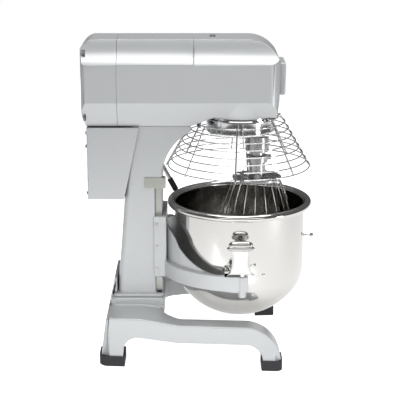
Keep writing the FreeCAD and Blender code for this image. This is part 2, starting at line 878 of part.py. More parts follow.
node(cylinder("tool_shaft", mm.tool_shaft_radius, gear_top - mm.tool_shaft_bottom_z,
              (tool_x, 0, mm.tool_shaft_bottom_z)))
node(casting("planet_gear", planet_gear_shape(), TOOL))

pin_half = mm.whisk_hub_radius + 2
cross_pin = cylinder("cross_pin_bar", mm.cross_pin_radius, pin_half * 2,
                     (tool_x - pin_half, 0, mm.cross_pin_z), "X")
cross_pin_bore = cylinder("cross_pin_bore", mm.tool_shaft_radius, mm.cross_pin_radius * 4,
                          (tool_x, 0, mm.cross_pin_z - 2 * mm.cross_pin_radius))
node(cut("cross_pin", cross_pin, cross_pin_bore))


# Whisk

def whisk_hub_shape():
    """The whisk's sleeve, neck and wire disc, turned, with bayonet slots and a stop lug."""
    bore = mm.tool_shaft_radius + mm.whisk_bore_fit
    sleeve_foot = mm.whisk_hub_bottom_z
    band_top = sleeve_foot - 11
    band_foot = band_top - 16
    disc_top = mm.whisk_disc_z + mm.whisk_disc_thickness / 2
    body = disc(mm.whisk_hub_radius, sleeve_foot, mm.whisk_hub_top_z)
    body = body.multiFuse([
        disc(mm.whisk_neck_radius - 3, band_top, sleeve_foot + 1),
        disc(mm.whisk_collar_radius, band_foot, band_top + 1),
        disc(mm.whisk_neck_radius, disc_top - 1, band_foot + 1),
        disc(mm.whisk_disc_radius, disc_top - mm.whisk_disc_thickness, disc_top),
        brick(0, mm.whisk_collar_radius + 9, -6, 6, band_top - 10, band_top + 1)])
    body = body.cut(disc(bore, mm.tool_shaft_bottom_z, mm.whisk_hub_top_z + 1))
    slot = mm.cross_pin_radius + 0.5
    reach = mm.whisk_hub_radius + 2
    body = body.cut(brick(-reach, reach, -slot, slot, mm.cross_pin_z, mm.whisk_hub_top_z + 1))
    return body.cut(Part.makeCylinder(slot, 2 * reach, Vector(-reach, 0, mm.cross_pin_z),
                                      Vector(1, 0, 0)))


def whisk_loop(index):
    """One closed-ended wire that leaves the disc, bellies out and passes under the axis."""
    wire = mm.whisk_wire / 2
    top_radius = mm.whisk_disc_radius - 5
    top_z = mm.whisk_disc_z - mm.whisk_disc_thickness / 2
    drop = top_z - mm.whisk_widest_z
    widen = mm.whisk_radius - top_radius
    belly = (widen ** 2 + drop ** 2) / (2 * widen)
    depth = mm.whisk_depth - index * (mm.whisk_wire + 0.3)
    low_z = mm.whisk_widest_z - depth
    flat = mm.whisk_radius - depth
    angle = math.asin(drop / belly) / 2
    diagonal = depth * math.sqrt(0.5)

    def at(x, z):
        return Vector(x, 0, z)

    side = mm.whisk_radius - belly * (1 - math.cos(angle))
    side_z = mm.whisk_widest_z + belly * math.sin(angle)
    edges = []
    for sign in (-1, 1):
        edges.append(Part.Arc(at(sign * top_radius, top_z), at(sign * side, side_z),
                              at(sign * mm.whisk_radius, mm.whisk_widest_z)).toShape())
        edges.append(Part.Arc(at(sign * mm.whisk_radius, mm.whisk_widest_z),
                              at(sign * (flat + diagonal), mm.whisk_widest_z - diagonal),
                              at(sign * flat, low_z)).toShape())
    edges.append(Part.makeLine(at(-flat, low_z), at(flat, low_z)))
    path = Part.Wire(Part.__sortEdges__(edges))
    start = path.OrderedVertexes[0].Point
    toward = path.OrderedEdges[0].tangentAt(path.OrderedEdges[0].FirstParameter)
    circle = Part.Wire(Part.makeCircle(wire, start, toward))
    solid = path.makePipeShell([circle], True, False)
    solid.rotate(Vector(), UP, 180 * index / mm.whisk_loops + 5)
    return solid


node(casting("whisk_hub", whisk_hub_shape(), TOOL))
node(casting("whisk_wires",
             Part.makeCompound([whisk_loop(index) for index in range(int(mm.whisk_loops))]), TOOL))


# Column. Shapes keep the planetary axis at X = 0.

def column_solid(inset):
    """The pedestal: a leaning back, a straight front and a cove that meets the neck."""
    front = -mm.column_front_reach - inset
    way = front - mm.column_way_depth
    arc_radius = mm.column_arc_radius + inset
    arc_z = mm.column_arc_bottom_z
    top = mm.head_bottom_z
    low = mm.column_bottom_z

    def arc_x(z):
        return front + arc_radius - math.sqrt(arc_radius ** 2 - (z - arc_z) ** 2)

    lean = mm.column_rear_high_reach - mm.column_rear_low_reach
    rear = [(inset - mm.column_rear_low_reach - lean * part, low + (top - low) * rise)
            for rise, part in ((0, 0), (0.135, 0.06), (0.335, 0.3), (0.572, 0.545), (1, 1))]
    end = arc_radius * 0.89
    half = mm.column_half_width - inset
    body = prism("XZ", -half, half, rear[0], *rear[1:], (arc_x(arc_z + end), top),
                 (arc_x(arc_z + end), arc_z + end),
                 ((arc_x(arc_z + end / 2), arc_z + end / 2), (front, arc_z)), (front, low))
    shoulder = mm.column_half_width - mm.column_way_half_width
    inner = half - shoulder
    for sign in (-1, 1):
        low_y, high_y = sorted((sign * inner, sign * (half + 1)))
        body = body.cut(brick(way, 0, low_y, high_y, low - 1, arc_z))
    return body


def column_shape():
    """The hollow pedestal with the rack's slot, the lever bush bores and the guard scoop."""
    wall = mm.column_wall
    low = mm.column_bottom_z
    outer = column_solid(0)
    rear_edges = [edge for edge in outer.Edges
                  if edge.BoundBox.XMax < -260 and edge.BoundBox.YLength < 1e-6]
    outer = outer.makeFillet(mm.column_corner, rear_edges)
    inner = column_solid(wall).common(brick(-far, far, -far, far, low + 10, mm.head_bottom_z + 1))
    body = outer.cut(inner)
    slot = mm.lift_gear_width / 2 + 2
    slot_low = mm.saddle_bottom_z + 8
    slot_high = mm.saddle_bottom_z + 60 + mm.lift_travel + 8
    body = body.cut(brick(-mm.column_front_reach - wall - 2, 0, -slot, slot, slot_low, slot_high))
    pocket = brick(-mm.column_front_reach - wall - 2, -mm.column_front_reach - 3.4, -slot, slot,
                   mm.lift_pivot_z - 60, mm.lift_pivot_z)
    body = body.cut(pocket)
    bush = mm.lift_shaft_radius + 4
    body = body.cut(Part.makeCylinder(bush, 200, Vector(-mm.lift_pivot_reach, 0, mm.lift_pivot_z),
                                      Vector(0, 1, 0)))
    flange = brick(-mm.column_rear_low_reach - 11, -mm.column_front_reach + 3,
                   -mm.column_half_width - 14,
                   mm.column_half_width + 14, low, low + 8)
    flange = flange.makeFillet(12, [edge for edge in flange.Edges if edge.BoundBox.ZLength > 1])
    flange = flange.cut(brick(-280, -215, -45, 45, low - 1, low + 12))
    return body.fuse(flange).cut(guard_sweep(GUARD_MARGIN)).removeSplitter()


column_outer = column_solid(0)
node(casting("column", column_shape(), AXIS))

way_rear = mm.axis_x - mm.column_front_reach - mm.column_way_depth
way_length = mm.column_way_depth - 1
way_height = mm.column_arc_bottom_z - mm.way_bottom_z
strips = []
for side, sign in MIRRORS.items():
    low_y = mm.column_way_half_width if sign > 0 else -mm.column_way_half_width - mm.way_thickness
    strips.append(padded(f"slide_way_{side}", "XY_Plane",
                         rectangle(0, way_length, 0, mm.way_thickness), way_height,
                         at=(way_rear + 0.5, low_y, mm.way_bottom_z)))
node(group("slide_ways", strips))

stop_z = mm.saddle_top_z + mm.lift_travel + 1
stop_height = 26.0
stop_cheek = block("stop_cheek", (mm.axis_x - 233, -mm.column_half_width - 4, stop_z),
                   34, 4, stop_height)
stop_lip = block("stop_lip", (mm.axis_x - mm.column_front_reach, -mm.column_half_width - 4, stop_z),
                 9, 22, stop_height)
stop_bridge = block("stop_bridge", (mm.axis_x - 200, -mm.column_half_width - 4, stop_z),
                    10, 4, stop_height)
stop_bridge_room = casting("stop_bridge_room", column_outer, AXIS)
node(cut("stop_bracket", fuse("stop_bracket_bar", stop_cheek, stop_lip, stop_bridge),
         stop_bridge_room))


# Bowl carriage, rack and lift gear

def cradle_shape():
    """The yoke: a saddle round the slide ways, a curved back and two arms."""
    low = mm.cradle_bottom_z
    band_inner = mm.cradle_outer_radius - mm.cradle_band
    tip = math.degrees(math.asin(mm.cradle_tip / mm.cradle_outer_radius))
    arms = sector(ring(mm.cradle_outer_radius, band_inner, low, mm.cradle_top_z),
                  90 - tip, 180 + 2 * tip, 400, 0, 800)
    back = ring(mm.cradle_back_radius + 2, mm.cradle_back_radius - mm.cradle_back_wall, low,
                mm.cradle_back_top_z)
    back = back.common(prism(
        "XZ", -300, 300, (-250, low), (-56, low), (-56, mm.cradle_top_z - 4),
        ((-119, 250), (-150, 278)), ((-172, 310), (-200, mm.cradle_back_top_z)),
        (-250, mm.cradle_back_top_z)))
    saddle_rear = -mm.column_front_reach - mm.column_way_depth - 4
    saddle = brick(saddle_rear, -mm.saddle_front_reach, -mm.saddle_half_width,
                   mm.saddle_half_width, mm.saddle_bottom_z, mm.saddle_top_z)
    cheek_inner = mm.column_way_half_width + mm.way_thickness + mm.slide_clearance
    channel = brick(saddle_rear - 1, -mm.column_front_reach + mm.slide_clearance,
                    -cheek_inner, cheek_inner, 0, 900)
    shoulder = brick(saddle_rear - 1, -mm.column_front_reach - mm.column_way_depth
                     + mm.slide_clearance, -mm.column_half_width - mm.slide_clearance,
                     mm.column_half_width + mm.slide_clearance, 0, 900)
    bosses = []
    for sign in (-1, 1):
        bosses.append(disc(9.5, clamp_bottom_z, mm.cradle_top_z, clamp_x, sign * clamp_y))
    cradle = arms.fuse(back).cut(channel)
    body = cradle.fuse(saddle.cut(channel).cut(shoulder)).multiFuse(bosses)
    for sign in (-1, 1):
        body = body.cut(disc(clamp_pin_radius + mm.running_fit, low - 20, 300, clamp_x,
                             sign * clamp_y))
    return body


clamp_pin_radius = 3.0
clamp_y = mm.cradle_outer_radius - mm.cradle_band / 2
clamp_x = 2.0
clamp_bottom_z = mm.cradle_bottom_z - 14
clamp_thickness = 6.0
clamp_length = 50.0
clamp_lever_radius = 2.0
node(casting("bowl_yoke", cradle_shape(), AXIS))


def gib_screws():
    """Three adjusting screws in each cheek of the saddle."""
    screws = []
    for side, sign in MIRRORS.items():
        start = mm.saddle_half_width if sign > 0 else -mm.saddle_half_width - 2.5
        for level in (212.0, 268.0, 325.0):
            screws.append(cylinder(f"gib_screw_{side}_{int(level)}", 4, 2.5,
                                   (mm.axis_x - 205, start, level), "Y"))
    return group("gib_screws", screws)


node(gib_screws())

lift_pitch = mm.lift_module * mm.lift_teeth / 2
rack_pitch_x = -mm.lift_pivot_reach - lift_pitch
rack_backlash = 0.6


def rack_shape():
    """The toothed bar behind the lift gear and its foot, which passes out through the slot."""
    half = mm.lift_gear_width / 2
    pitch = math.pi * mm.lift_module
    tip = 0.75 * mm.lift_module
    root = mm.lift_module
    first = mm.lift_pivot_z - mm.lift_travel - 1.5 * pitch
    count = int((mm.lift_travel + 3.2 * pitch) / pitch) + 1
    face = rack_pitch_x - root
    back = face - mm.rack_thickness
    lean = math.tan(math.radians(20))
    bottom = mm.saddle_bottom_z + 12
    points = [(back, bottom), (face, bottom)]
    start = mm.lift_pivot_z - math.ceil((mm.lift_pivot_z - first) / pitch) * pitch
    for index in range(count):
        middle = start + (index + 0.5) * pitch
        wide = pitch / 4 - rack_backlash / 2 + root * lean
        narrow = pitch / 4 - rack_backlash / 2 - tip * lean
        points += [(face, middle - wide), (face + root + tip, middle - narrow),
                   (face + root + tip, middle + narrow), (face, middle + wide)]
    top = start + (count + 0.3) * pitch
    points += [(face, top), (back, top)]
    bar = prism("XZ", -half, half, points[0], *points[1:])
    foot = brick(back, -mm.column_front_reach + mm.slide_clearance, -half, half,
                 bottom, bottom + 44)
    return bar.fuse(foot).removeSplitter()


def lift_gear_shape():
    """A toothed sector on a hub, with a tooth gap on its pitch line facing the rack at rest."""
    half = mm.lift_gear_width / 2
    outline = involute_outline(mm.lift_teeth, mm.lift_module, lift_pitch + 0.75 * mm.lift_module,
                               lift_pitch - mm.lift_module, rack_backlash)
    gear = toothed_prism(outline, -half, half)
    spare = 10
    sweep = math.degrees(mm.lift_travel / lift_pitch) + 2 * spare
    wedge = Part.makeCylinder(80, 2 * half, Vector(0, 0, -half), UP, sweep)
    wedge.rotate(Vector(), UP, 180 - spare)
    gear = gear.common(wedge).fuse(disc(15, -half, half))
    gear = gear.cut(disc(mm.lift_shaft_radius, -half - 1, half + 1))
    gear.rotate(Vector(), Vector(1, 0, 0), 90)
    return gear.removeSplitter()


node(casting("lift_rack", rack_shape(), AXIS))
LIFT_PIVOT = (mm.axis_x - mm.lift_pivot_reach, 0, mm.lift_pivot_z)
node(casting("lift_gear", lift_gear_shape(), LIFT_PIVOT))

lift_shaft_end = mm.lift_lever_y + 8
lift_shaft_start = mm.lift_gear_width / 2 + 3
node(cylinder("lift_shaft", mm.lift_shaft_radius, lift_shaft_end + lift_shaft_start,
              (mm.axis_x - mm.lift_pivot_reach, -lift_shaft_start, mm.lift_pivot_z), "Y"))
bush_length = mm.column_wall + 8
bush_start = mm.column_half_width - mm.column_wall
bush_outer = cylinder("lift_bush_outer", mm.lift_shaft_radius + 4, bush_length,
                      (mm.axis_x - mm.lift_pivot_reach, bush_start, mm.lift_pivot_z), "Y")
bush_bore = cylinder("lift_bush_bore", mm.lift_shaft_radius + mm.running_fit, bush_length + 2,
                     (mm.axis_x - mm.lift_pivot_reach, bush_start - 1, mm.lift_pivot_z), "Y")
node(cut("lift_bush", bush_outer, bush_bore))


def lift_lever_shape():
    """A round lever that dips forward from its clamp on the shaft."""
    clamp = Part.makeCylinder(16, 16, Vector(0, mm.lift_lever_y - 8, 0), Vector(0, 1, 0))
    dip = math.radians(mm.lift_lever_dip)
    along = Vector(math.cos(dip), 0, -math.sin(dip))
    start = Vector(0, mm.lift_lever_y, 0) + along * 10
    lever = rod(start, start + along * (mm.lift_lever_length - 10), mm.lift_lever_radius)
    bore = Part.makeCylinder(mm.lift_shaft_radius, 40, Vector(0, mm.lift_lever_y - 20, 0),
                             Vector(0, 1, 0))
    return clamp.fuse(lever).cut(bore)


def lift_grip_shape():
    """The slim rounded grip pushed on the end of the lever."""
    dip = math.radians(mm.lift_lever_dip)
    along = Vector(math.cos(dip), 0, -math.sin(dip))
    start = Vector(0, mm.lift_lever_y, 0) + along * (mm.lift_lever_length - 30)
    grip = rod(start, start + along * 36, mm.lift_grip_radius)
    grip = grip.makeFillet(3, [edge for edge in grip.Edges
                               if isinstance(edge.Curve, Part.Circle)])
    return grip.cut(rod(start - along, start + along * 30, mm.lift_lever_radius))


node(casting("lift_lever", lift_lever_shape(), LIFT_PIVOT))
node(casting("lift_grip", lift_grip_shape(), LIFT_PIVOT))


# Bowl

def bowl_section(inset):
    """Outer profile of the bowl's wall and dished bottom, moved in by an inset."""
    radius = mm.bowl_radius - inset
    knuckle = mm.bowl_knuckle - inset
    centre = radius - knuckle
    knuckle_z = mm.bowl_knuckle_z
    depth = knuckle_z - mm.bowl_bottom_z - inset
    crown = (centre ** 2 + depth ** 2 - knuckle ** 2) / (2 * (depth - knuckle))
    crown_z = knuckle_z - depth + crown
    lean = math.atan2(centre, crown_z - knuckle_z)
    meet = (crown * math.sin(lean), crown_z - crown * math.cos(lean))
    crown_mid = (crown * math.sin(lean / 2), crown_z - crown * math.cos(lean / 2))
    half = (math.pi / 2 - lean) / 2 + lean
    knuckle_mid = (centre + knuckle * math.sin(half), knuckle_z - knuckle * math.cos(half))
    return meet, crown_mid, knuckle_mid, (radius, knuckle_z), knuckle_z - depth


def bowl_shape():
    """A pressed bowl with a rolled rim, turned about the planetary axis."""
    def flat(x, z):
        return Vector(x, 0, z)

    edges = []
    ends = []
    for inset in (0, mm.bowl_wall):
        meet, crown_mid, knuckle_mid, wall_foot, bottom = bowl_section(inset)
        roll = mm.bowl_rim_roll + inset
        rim_x = mm.bowl_radius + mm.bowl_rim_roll
        if inset == 0:
            roll = mm.bowl_rim_roll
        wall_top = (rim_x - roll, mm.bowl_rim_z)
        edges.append(Part.Arc(flat(0, bottom), flat(*crown_mid), flat(*meet)).toShape())
        edges.append(Part.Arc(flat(*meet), flat(*knuckle_mid), flat(*wall_foot)).toShape())
        edges.append(Part.makeLine(flat(*wall_foot), flat(*wall_top)))
        edges.append(Part.Arc(flat(*wall_top), flat(rim_x, mm.bowl_rim_z + roll),
                              flat(rim_x + roll, mm.bowl_rim_z)).toShape())
        edges.append(Part.makeLine(flat(rim_x + roll, mm.bowl_rim_z),
                                   flat(rim_x + roll, mm.bowl_rim_z - 6)))
        ends.append((flat(0, bottom), flat(rim_x + roll, mm.bowl_rim_z - 6)))
    edges.append(Part.makeLine(ends[0][0], ends[1][0]))
    edges.append(Part.makeLine(ends[0][1], ends[1][1]))
    face = Part.Face(Part.Wire(Part.__sortEdges__(edges)))
    return face.revolve(Vector(), UP, 360)


node(casting("bowl", bowl_shape(), AXIS))


def bowl_handle_shape(sign):
    """A lug that rests on the arm, a neck plate and a rolled grip."""
    low = mm.cradle_top_z + 0.3
    wall = disc(mm.bowl_radius, 0, 500)
    lug = brick(-mm.lug_rear, mm.lug_front, 140, mm.lug_outer_y, low, mm.lug_top_z).cut(wall)
    half = mm.handle_neck_width / 2
    neck_x = -2.0
    lean_low = mm.lug_outer_y - mm.handle_plate
    neck = prism("YZ", neck_x - half, neck_x + half,
                 (lean_low, low + 4), (mm.lug_outer_y, low + 4),
                 (mm.handle_grip_y + mm.handle_plate / 2, mm.handle_grip_z),
                 (mm.handle_grip_y - mm.handle_plate / 2, mm.handle_grip_z))
    grip = Part.makeCylinder(mm.handle_grip_radius, mm.handle_grip_length,
                             Vector(neck_x - mm.handle_grip_length / 2, mm.handle_grip_y,
                                    mm.handle_grip_z), Vector(1, 0, 0))
    grip = grip.cut(Part.makeCylinder(mm.handle_grip_radius - 5, 200,
                                      Vector(-100, mm.handle_grip_y, mm.handle_grip_z),
                                      Vector(1, 0, 0)))
    inner = Part.makeCylinder(mm.handle_grip_radius - 5, 200,
                              Vector(-100, mm.handle_grip_y, mm.handle_grip_z), Vector(1, 0, 0))
    body = lug.multiFuse([neck.cut(inner), grip])
    notch = brick(clamp_x - 9, 60, clamp_y - 12, 260, low - 1,
                  mm.cradle_top_z + 1 + clamp_thickness + 1)
    body = body.cut(notch)
    if sign < 0:
        body = body.mirror(Vector(), Vector(0, 1, 0))
    return body.removeSplitter()


for side, sign in MIRRORS.items():
    node(casting(f"bowl_handle_{side}", bowl_handle_shape(sign), AXIS))

stud_length = mm.stud_reach - mm.bowl_radius
node(turned("bowl_stud", [
    (0, 0.5), (6, 0.5), (6, 2), (mm.stud_radius, 2.5), (mm.stud_radius, stud_length - 5),
    (4, stud_length - 3.6), (mm.stud_ball_radius, stud_length), (4, stud_length + 3.6),
    (0, stud_length + mm.stud_ball_radius)],
    at=(mm.axis_x + mm.bowl_radius, 0, mm.stud_z), rotation=TOWARD["X"]))


def clamp_shape(sign):
    """A swinging catch in the lug's notch: pivot pin, cam disc and a lever with a ball end."""
    low = mm.cradle_top_z + 1
    lever_z = low + clamp_thickness / 2
    parts = [
        disc(6, low, low + clamp_thickness, clamp_x, clamp_y),
        rod(Vector(clamp_x, clamp_y, lever_z), Vector(clamp_x + clamp_length, clamp_y, lever_z),
            clamp_lever_radius),
        Part.makeSphere(4, Vector(clamp_x + clamp_length, clamp_y, lever_z))]
    pin = disc(clamp_pin_radius, clamp_bottom_z + 4, low + 1, clamp_x, clamp_y)
    body = pin.multiFuse(parts)
    if sign < 0:
        body = body.mirror(Vector(), Vector(0, 1, 0))
    return body


for side, sign in MIRRORS.items():
    node(casting(f"bowl_clamp_{side}", clamp_shape(sign), AXIS))


# Wire guard

def cage_shape(start, sweep, inset, rib_side, rib_angles):
    """Half a cage: stacked ring wires joined by sloping ribs on one side of them."""
    parts = []
    count = int(mm.guard_rings)
    for index in range(count):
        radius = mm.guard_bottom_radius - inset - index * mm.guard_step_in
        z = mm.guard_bottom_z + index * mm.guard_step_up
        wire = Part.makeTorus(radius, mm.guard_wire, Vector(0, 0, z), UP, 0, 360, sweep)
        wire.rotate(Vector(), UP, start)
        parts.append(wire)
    shift = rib_side * (mm.guard_wire + mm.guard_rib - 0.8)
    low_radius = mm.guard_bottom_radius - inset + shift
    high_radius = low_radius - (count - 1) * mm.guard_step_in
    high_z = mm.guard_bottom_z + (count - 1) * mm.guard_step_up
    for angle in rib_angles:
        parts.append(rod(polar(low_radius, angle, mm.guard_bottom_z),
                         polar(high_radius, angle, high_z), mm.guard_rib))
        parts.append(Part.makeSphere(mm.guard_rib, polar(low_radius, angle, mm.guard_bottom_z)))
    return parts


def rear_guard_shape():
    """The fixed half cage with two hanger plates that reach up to the neck."""
    parts = cage_shape(92, 176, 0, 1, (95, 137.5, 180, 222.5, 265))
    for angle in (150, 210):
        plate = brick(guard_top_radius - 1, guard_top_radius + 2, -9, 9, guard_top_z - 1,
                      guard_sweep_top)
        plate.rotate(Vector(), UP, angle)
        parts.append(plate)
    return parts[0].multiFuse(parts[1:])


def front_guard_shape():
    """The swinging half cage with three shoes that run on the track's flange."""
    parts = cage_shape(-88, 176, mm.guard_nesting, -1, (-85, -42.5, 0, 42.5, 85))
    flange_top = track_bottom + 3
    shift = mm.guard_nesting + mm.guard_wire + mm.guard_rib - 0.8
    low = guard_top_radius - shift
    high = low - mm.guard_step_in
    high_z = guard_top_z + mm.guard_step_up
    for angle in (-42.5, 0, 42.5):
        parts.append(rod(polar(low, angle, guard_top_z), polar(high, angle, high_z),
                         mm.guard_rib))
        shoe = brick(mm.track_radius + 1, high + 2, -6, 6, flange_top + 0.3, flange_top + 4.3)
        shoe.rotate(Vector(), UP, angle)
        parts.append(shoe)
    return parts[0].multiFuse(parts[1:])


track_bottom = mm.chin_bottom_z - mm.track_height


def guard_track_shape():
    """The angle ring screwed under the chin, on which the front cage swings."""
    inner = mm.track_radius - mm.track_wall
    band = ring(mm.track_radius, inner, track_bottom, mm.chin_bottom_z)
    flange = ring(mm.track_flange_radius, inner, track_bottom, track_bottom + 3)
    return band.fuse(flange).removeSplitter()


node(casting("guard_track", guard_track_shape(), AXIS))
node(casting("rear_guard", rear_guard_shape(), AXIS))
node(casting("front_guard", front_guard_shape(), AXIS))


# Base casting and feet

def base_plan(offset_out):
    """The U-shaped plan, grown outward and inward by an offset."""
    rear = -mm.base_rear_reach - 17 - offset_out
    front = mm.base_front_reach + offset_out
    rear_half = mm.base_rear_half_width + offset_out
    front_half = mm.base_front_half_width + offset_out
    inner = mm.base_inner_half_width - offset_out
    inner_front = mm.base_inner_front_half_width - offset_out
    root = -mm.base_root_reach
    corner = mm.base_root_corner
    diagonal = corner * (1 - math.sqrt(0.5))
    rear_corner = 24
    bite = rear_corner * (1 - math.sqrt(0.5))
    nose = 16
    nib = nose * (1 - math.sqrt(0.5))
    return prism(
        "XY", -1, 200,
        (rear + rear_corner, -rear_half), (front - nose, -front_half),
        ((front - nib, -front_half + nib), (front, -front_half + nose)), (front, -inner_front),
        (root + corner, -inner),
        ((root + diagonal, -inner + diagonal), (root, -inner + corner)),
        (root, inner - corner),
        ((root + diagonal, inner - diagonal), (root + corner, inner)),
        (front, inner_front), (front, front_half - nose),
        ((front - nib, front_half - nib), (front - nose, front_half)),
        (rear + rear_corner, rear_half),
        ((rear + bite, rear_half - bite), (rear, rear_half - rear_corner)),
        (rear, -rear_half + rear_corner),
        ((rear + bite, -rear_half + bite), (rear + rear_corner, -rear_half)))


def base_silhouette():
    """The base seen from the side: arched underneath between its feet."""
    rear = -mm.base_rear_reach
    sole = mm.foot_sole
    leg = mm.leg_top_z
    under = mm.leg_under_z
    front = mm.base_front_reach
    return prism(
        "XZ", -300, 300,
        (rear - 17, sole), (rear - 14, 34), (rear - 3, mm.base_top_z - 10),
        ((rear, mm.base_top_z - 3), (rear + 6, mm.base_top_z)), (-240, mm.base_top_z),
        (-150, leg), (10, leg), ((63, 90), (front - 4, 43)), (front, foot_line), (front, sole),
        (53, sole), (53, foot_line), ((43, 48), (17, under)), (-157, under), (-243, under + 10),
        ((-270, 66), (-284, 44)), (-285, foot_line), (-285, sole))


foot_line = 25.0


def base_shape():
    """The U-shaped casting with a raised shoulder behind the column."""
    body = base_plan(0).common(base_silhouette())
    body = body.cut(brick(-400, -280, -mm.base_rear_half_width + 60,
                          mm.base_rear_half_width - 60, -1, 50))
    shoulder = prism("XZ", -74, 74, (-324, 100), (-321, 116), (-311, 184),
                     ((-308, 187), (-304, 184)), (-304, 152), (-300, 100))
    pad = brick(-318, -mm.column_front_reach + 5, -92, 92, 100, mm.column_bottom_z)
    pad = pad.makeFillet(14, [edge for edge in pad.Edges if edge.BoundBox.ZLength > 30])
    well = brick(-280, -215, -45, 45, mm.base_top_z - 12, 200)
    body = body.multiFuse([pad]).cut(well).fuse(
        shoulder.cut(brick(-312.3, 0, -86, 86, mm.column_bottom_z, 149)))
    return body.removeSplitter()


base_solid = base_shape()
node(casting("base_casting", base_solid, AXIS))


def foot_shape(x_low, x_high, inner_y, sign):
    """A rubber shoe pulled over the end of a leg."""
    wall = mm.foot_wall
    low_y, high_y = sorted((sign * (inner_y - wall), sign * 260))
    shoe = base_plan(wall).common(brick(x_low, x_high, low_y, high_y, 0, mm.foot_height))
    low_y, high_y = sorted((sign * inner_y, sign * 260))
    room = base_plan(0).common(
        brick(x_low + wall, x_high - wall, low_y, high_y, mm.foot_sole, 200))
    return shoe.cut(room)


rear_foot_inner_y = mm.base_rear_half_width - 60
FEET = {
    "front": (49.5, mm.base_front_reach + mm.foot_wall, 100.0),
    "rear": (-mm.base_rear_reach - 17 - mm.foot_wall, -280.8, rear_foot_inner_y),
}
for position, (x_low, x_high, inner_y) in FEET.items():
    for side, sign in MIRRORS.items():
        node(casting(f"foot_{position}_{side}", foot_shape(x_low, x_high, inner_y, sign), AXIS))


# Electrical box on the back of the column

def box_outline(inset, low, high):
    """The box seen from the side with its slanted front edge."""
    rear = -mm.box_rear_reach + inset
    return prism("XZ", -mm.box_half_width + inset, mm.box_half_width - inset,
                 (rear, low + inset), (-283, low + inset),
                 (-245, high - inset), (rear, high - inset))


box_rear = -mm.box_rear_reach
lid_thickness = mm.box_wall


def electrical_box_shape():
    """A folded steel box, open towards the column and closed at the rear by its cover."""
    outer = box_outline(0, mm.box_bottom_z, mm.box_top_z)
    inner = box_outline(mm.box_wall, mm.box_bottom_z, mm.box_top_z)
    inner = inner.fuse(brick(-300, -200, -mm.box_half_width + mm.box_wall,
                             mm.box_half_width - mm.box_wall, mm.box_bottom_z + mm.box_wall,
                             mm.box_top_z - mm.box_wall))
    body = outer.cut(inner).cut(brick(-400, box_rear + lid_thickness, -200, 200, 0, 900))
    clear = column_outer.copy()
    clear.translate(Vector(-0.4, 0, 0))
    half = mm.column_half_width
    room = brick(-262, -200, -half - 0.4, half + 0.4, mm.box_bottom_z - 1, mm.box_top_z + 1)
    return body.cut(clear).cut(room).cut(
        Part.makeCylinder(6, 20, Vector(-300, 0, mm.box_bottom_z - 5), UP))


node(casting("electrical_box", electrical_box_shape(), AXIS))
cover_y = mm.box_half_width
reset_y = -55.0
reset_z = 517.0
node(padded("box_cover", "YZ_Plane",
            rectangle(-cover_y, cover_y, mm.box_bottom_z, mm.box_top_z), mm.box_wall,
            at=(mm.axis_x - mm.box_rear_reach, 0, 0),
            circles=[(reset_y, reset_z, mm.reset_radius + mm.running_fit)]))
gland_x = mm.axis_x - 300
node(turned("cord_gland", [(3.5, -7), (9, -7), (9, 0), (5.9, 0), (5.9, mm.box_wall + 4),
                           (3.5, mm.box_wall + 4)], at=(gland_x, 0, mm.box_bottom_z)))
node(cylinder("reset_button", mm.reset_radius, 12,
              (mm.axis_x - mm.box_rear_reach - 5, reset_y, reset_z), "X"))


def cover_screws():
    """The screws of the box cover and the rear cover, and the plug in the top of the head."""
    screws = []
    for side, sign in MIRRORS.items():
        for level in (404.0, 553.0):
            screws.append(cylinder(f"box_screw_{side}_{int(level)}", 4, 3,
                                   (mm.axis_x - mm.box_rear_reach - 3, sign * 70, level), "X"))
    for index, (y, z) in enumerate(pocket_spots, start=1):
        screws.append(cylinder(f"rear_screw_{index}", 5, 5,
                               (mm.axis_x + pocket_floor - 5, y, z), "X"))
    screws.append(turned("oil_plug", [(0, 0), (7, 0), (7, 2.5), (5, 4), (0, 4)],
                         at=(mm.axis_x - top_plug_reach, 0, mm.head_plateau_z)))
    return group("cover_screws", screws)


node(cover_screws())
node(block("relay_block", (mm.axis_x - 348, -30, mm.box_bottom_z + mm.box_wall), 36, 50, 46))
node(cylinder("start_capacitor", 19, 82, (mm.axis_x - 318, 50, mm.box_bottom_z + mm.box_wall)))


# Controls on the far side of the head

node(padded("control_panel", "XZ_Plane",
            rectangle(panel_x, panel_x + panel_length, panel_z, panel_z + panel_height),
            mm.panel_thickness,
            at=(mm.axis_x, wall_y + mm.panel_thickness, 0),
            circles=[(start_x, button_z, switch_hole), (stop_x, button_z, switch_hole),
                     (timer_x, button_z, 4 + mm.running_fit)]))
panel_face = wall_y + mm.panel_thickness
button_start = wall_y - mm.head_wall - 2
for label, x in (("start_button", start_x), ("stop_button", stop_x)):
    node(turned(label, [(0, 0), (mm.button_radius, 0), (mm.button_radius, 19),
                        (mm.button_radius - 2, 21), (0, 21)],
                at=(mm.axis_x + x, button_start, button_z), rotation=TOWARD["Y"]))
switch_depth = 30.0
switch_front = button_start - mm.button_travel - 1
switch_low_x = mm.axis_x + start_x - 20
switch_length = 70.0
switch_leg = 6.0
switch_reach = wall_y - mm.head_wall - switch_front + switch_depth
node(fuse(
    "switch_block",
    block("switch_body", (switch_low_x, switch_front - switch_depth, button_z - 20),
          switch_length, switch_depth, 40),
    block("switch_leg_rear", (switch_low_x, switch_front - switch_depth, button_z - 8),
          switch_leg, switch_reach, 16),
    block("switch_leg_front", (switch_low_x + switch_length - switch_leg,
                               switch_front - switch_depth, button_z - 8),
          switch_leg, switch_reach, 16)))
node(turned("timer_knob", [
    (0, -mm.panel_thickness - 14), (4, -mm.panel_thickness - 14), (4, 0.4),
    (mm.knob_radius, 0.4), (mm.knob_radius - 2, 16), (0, 16)],
    at=(mm.axis_x + timer_x, panel_face, button_z), rotation=TOWARD["Y"]))


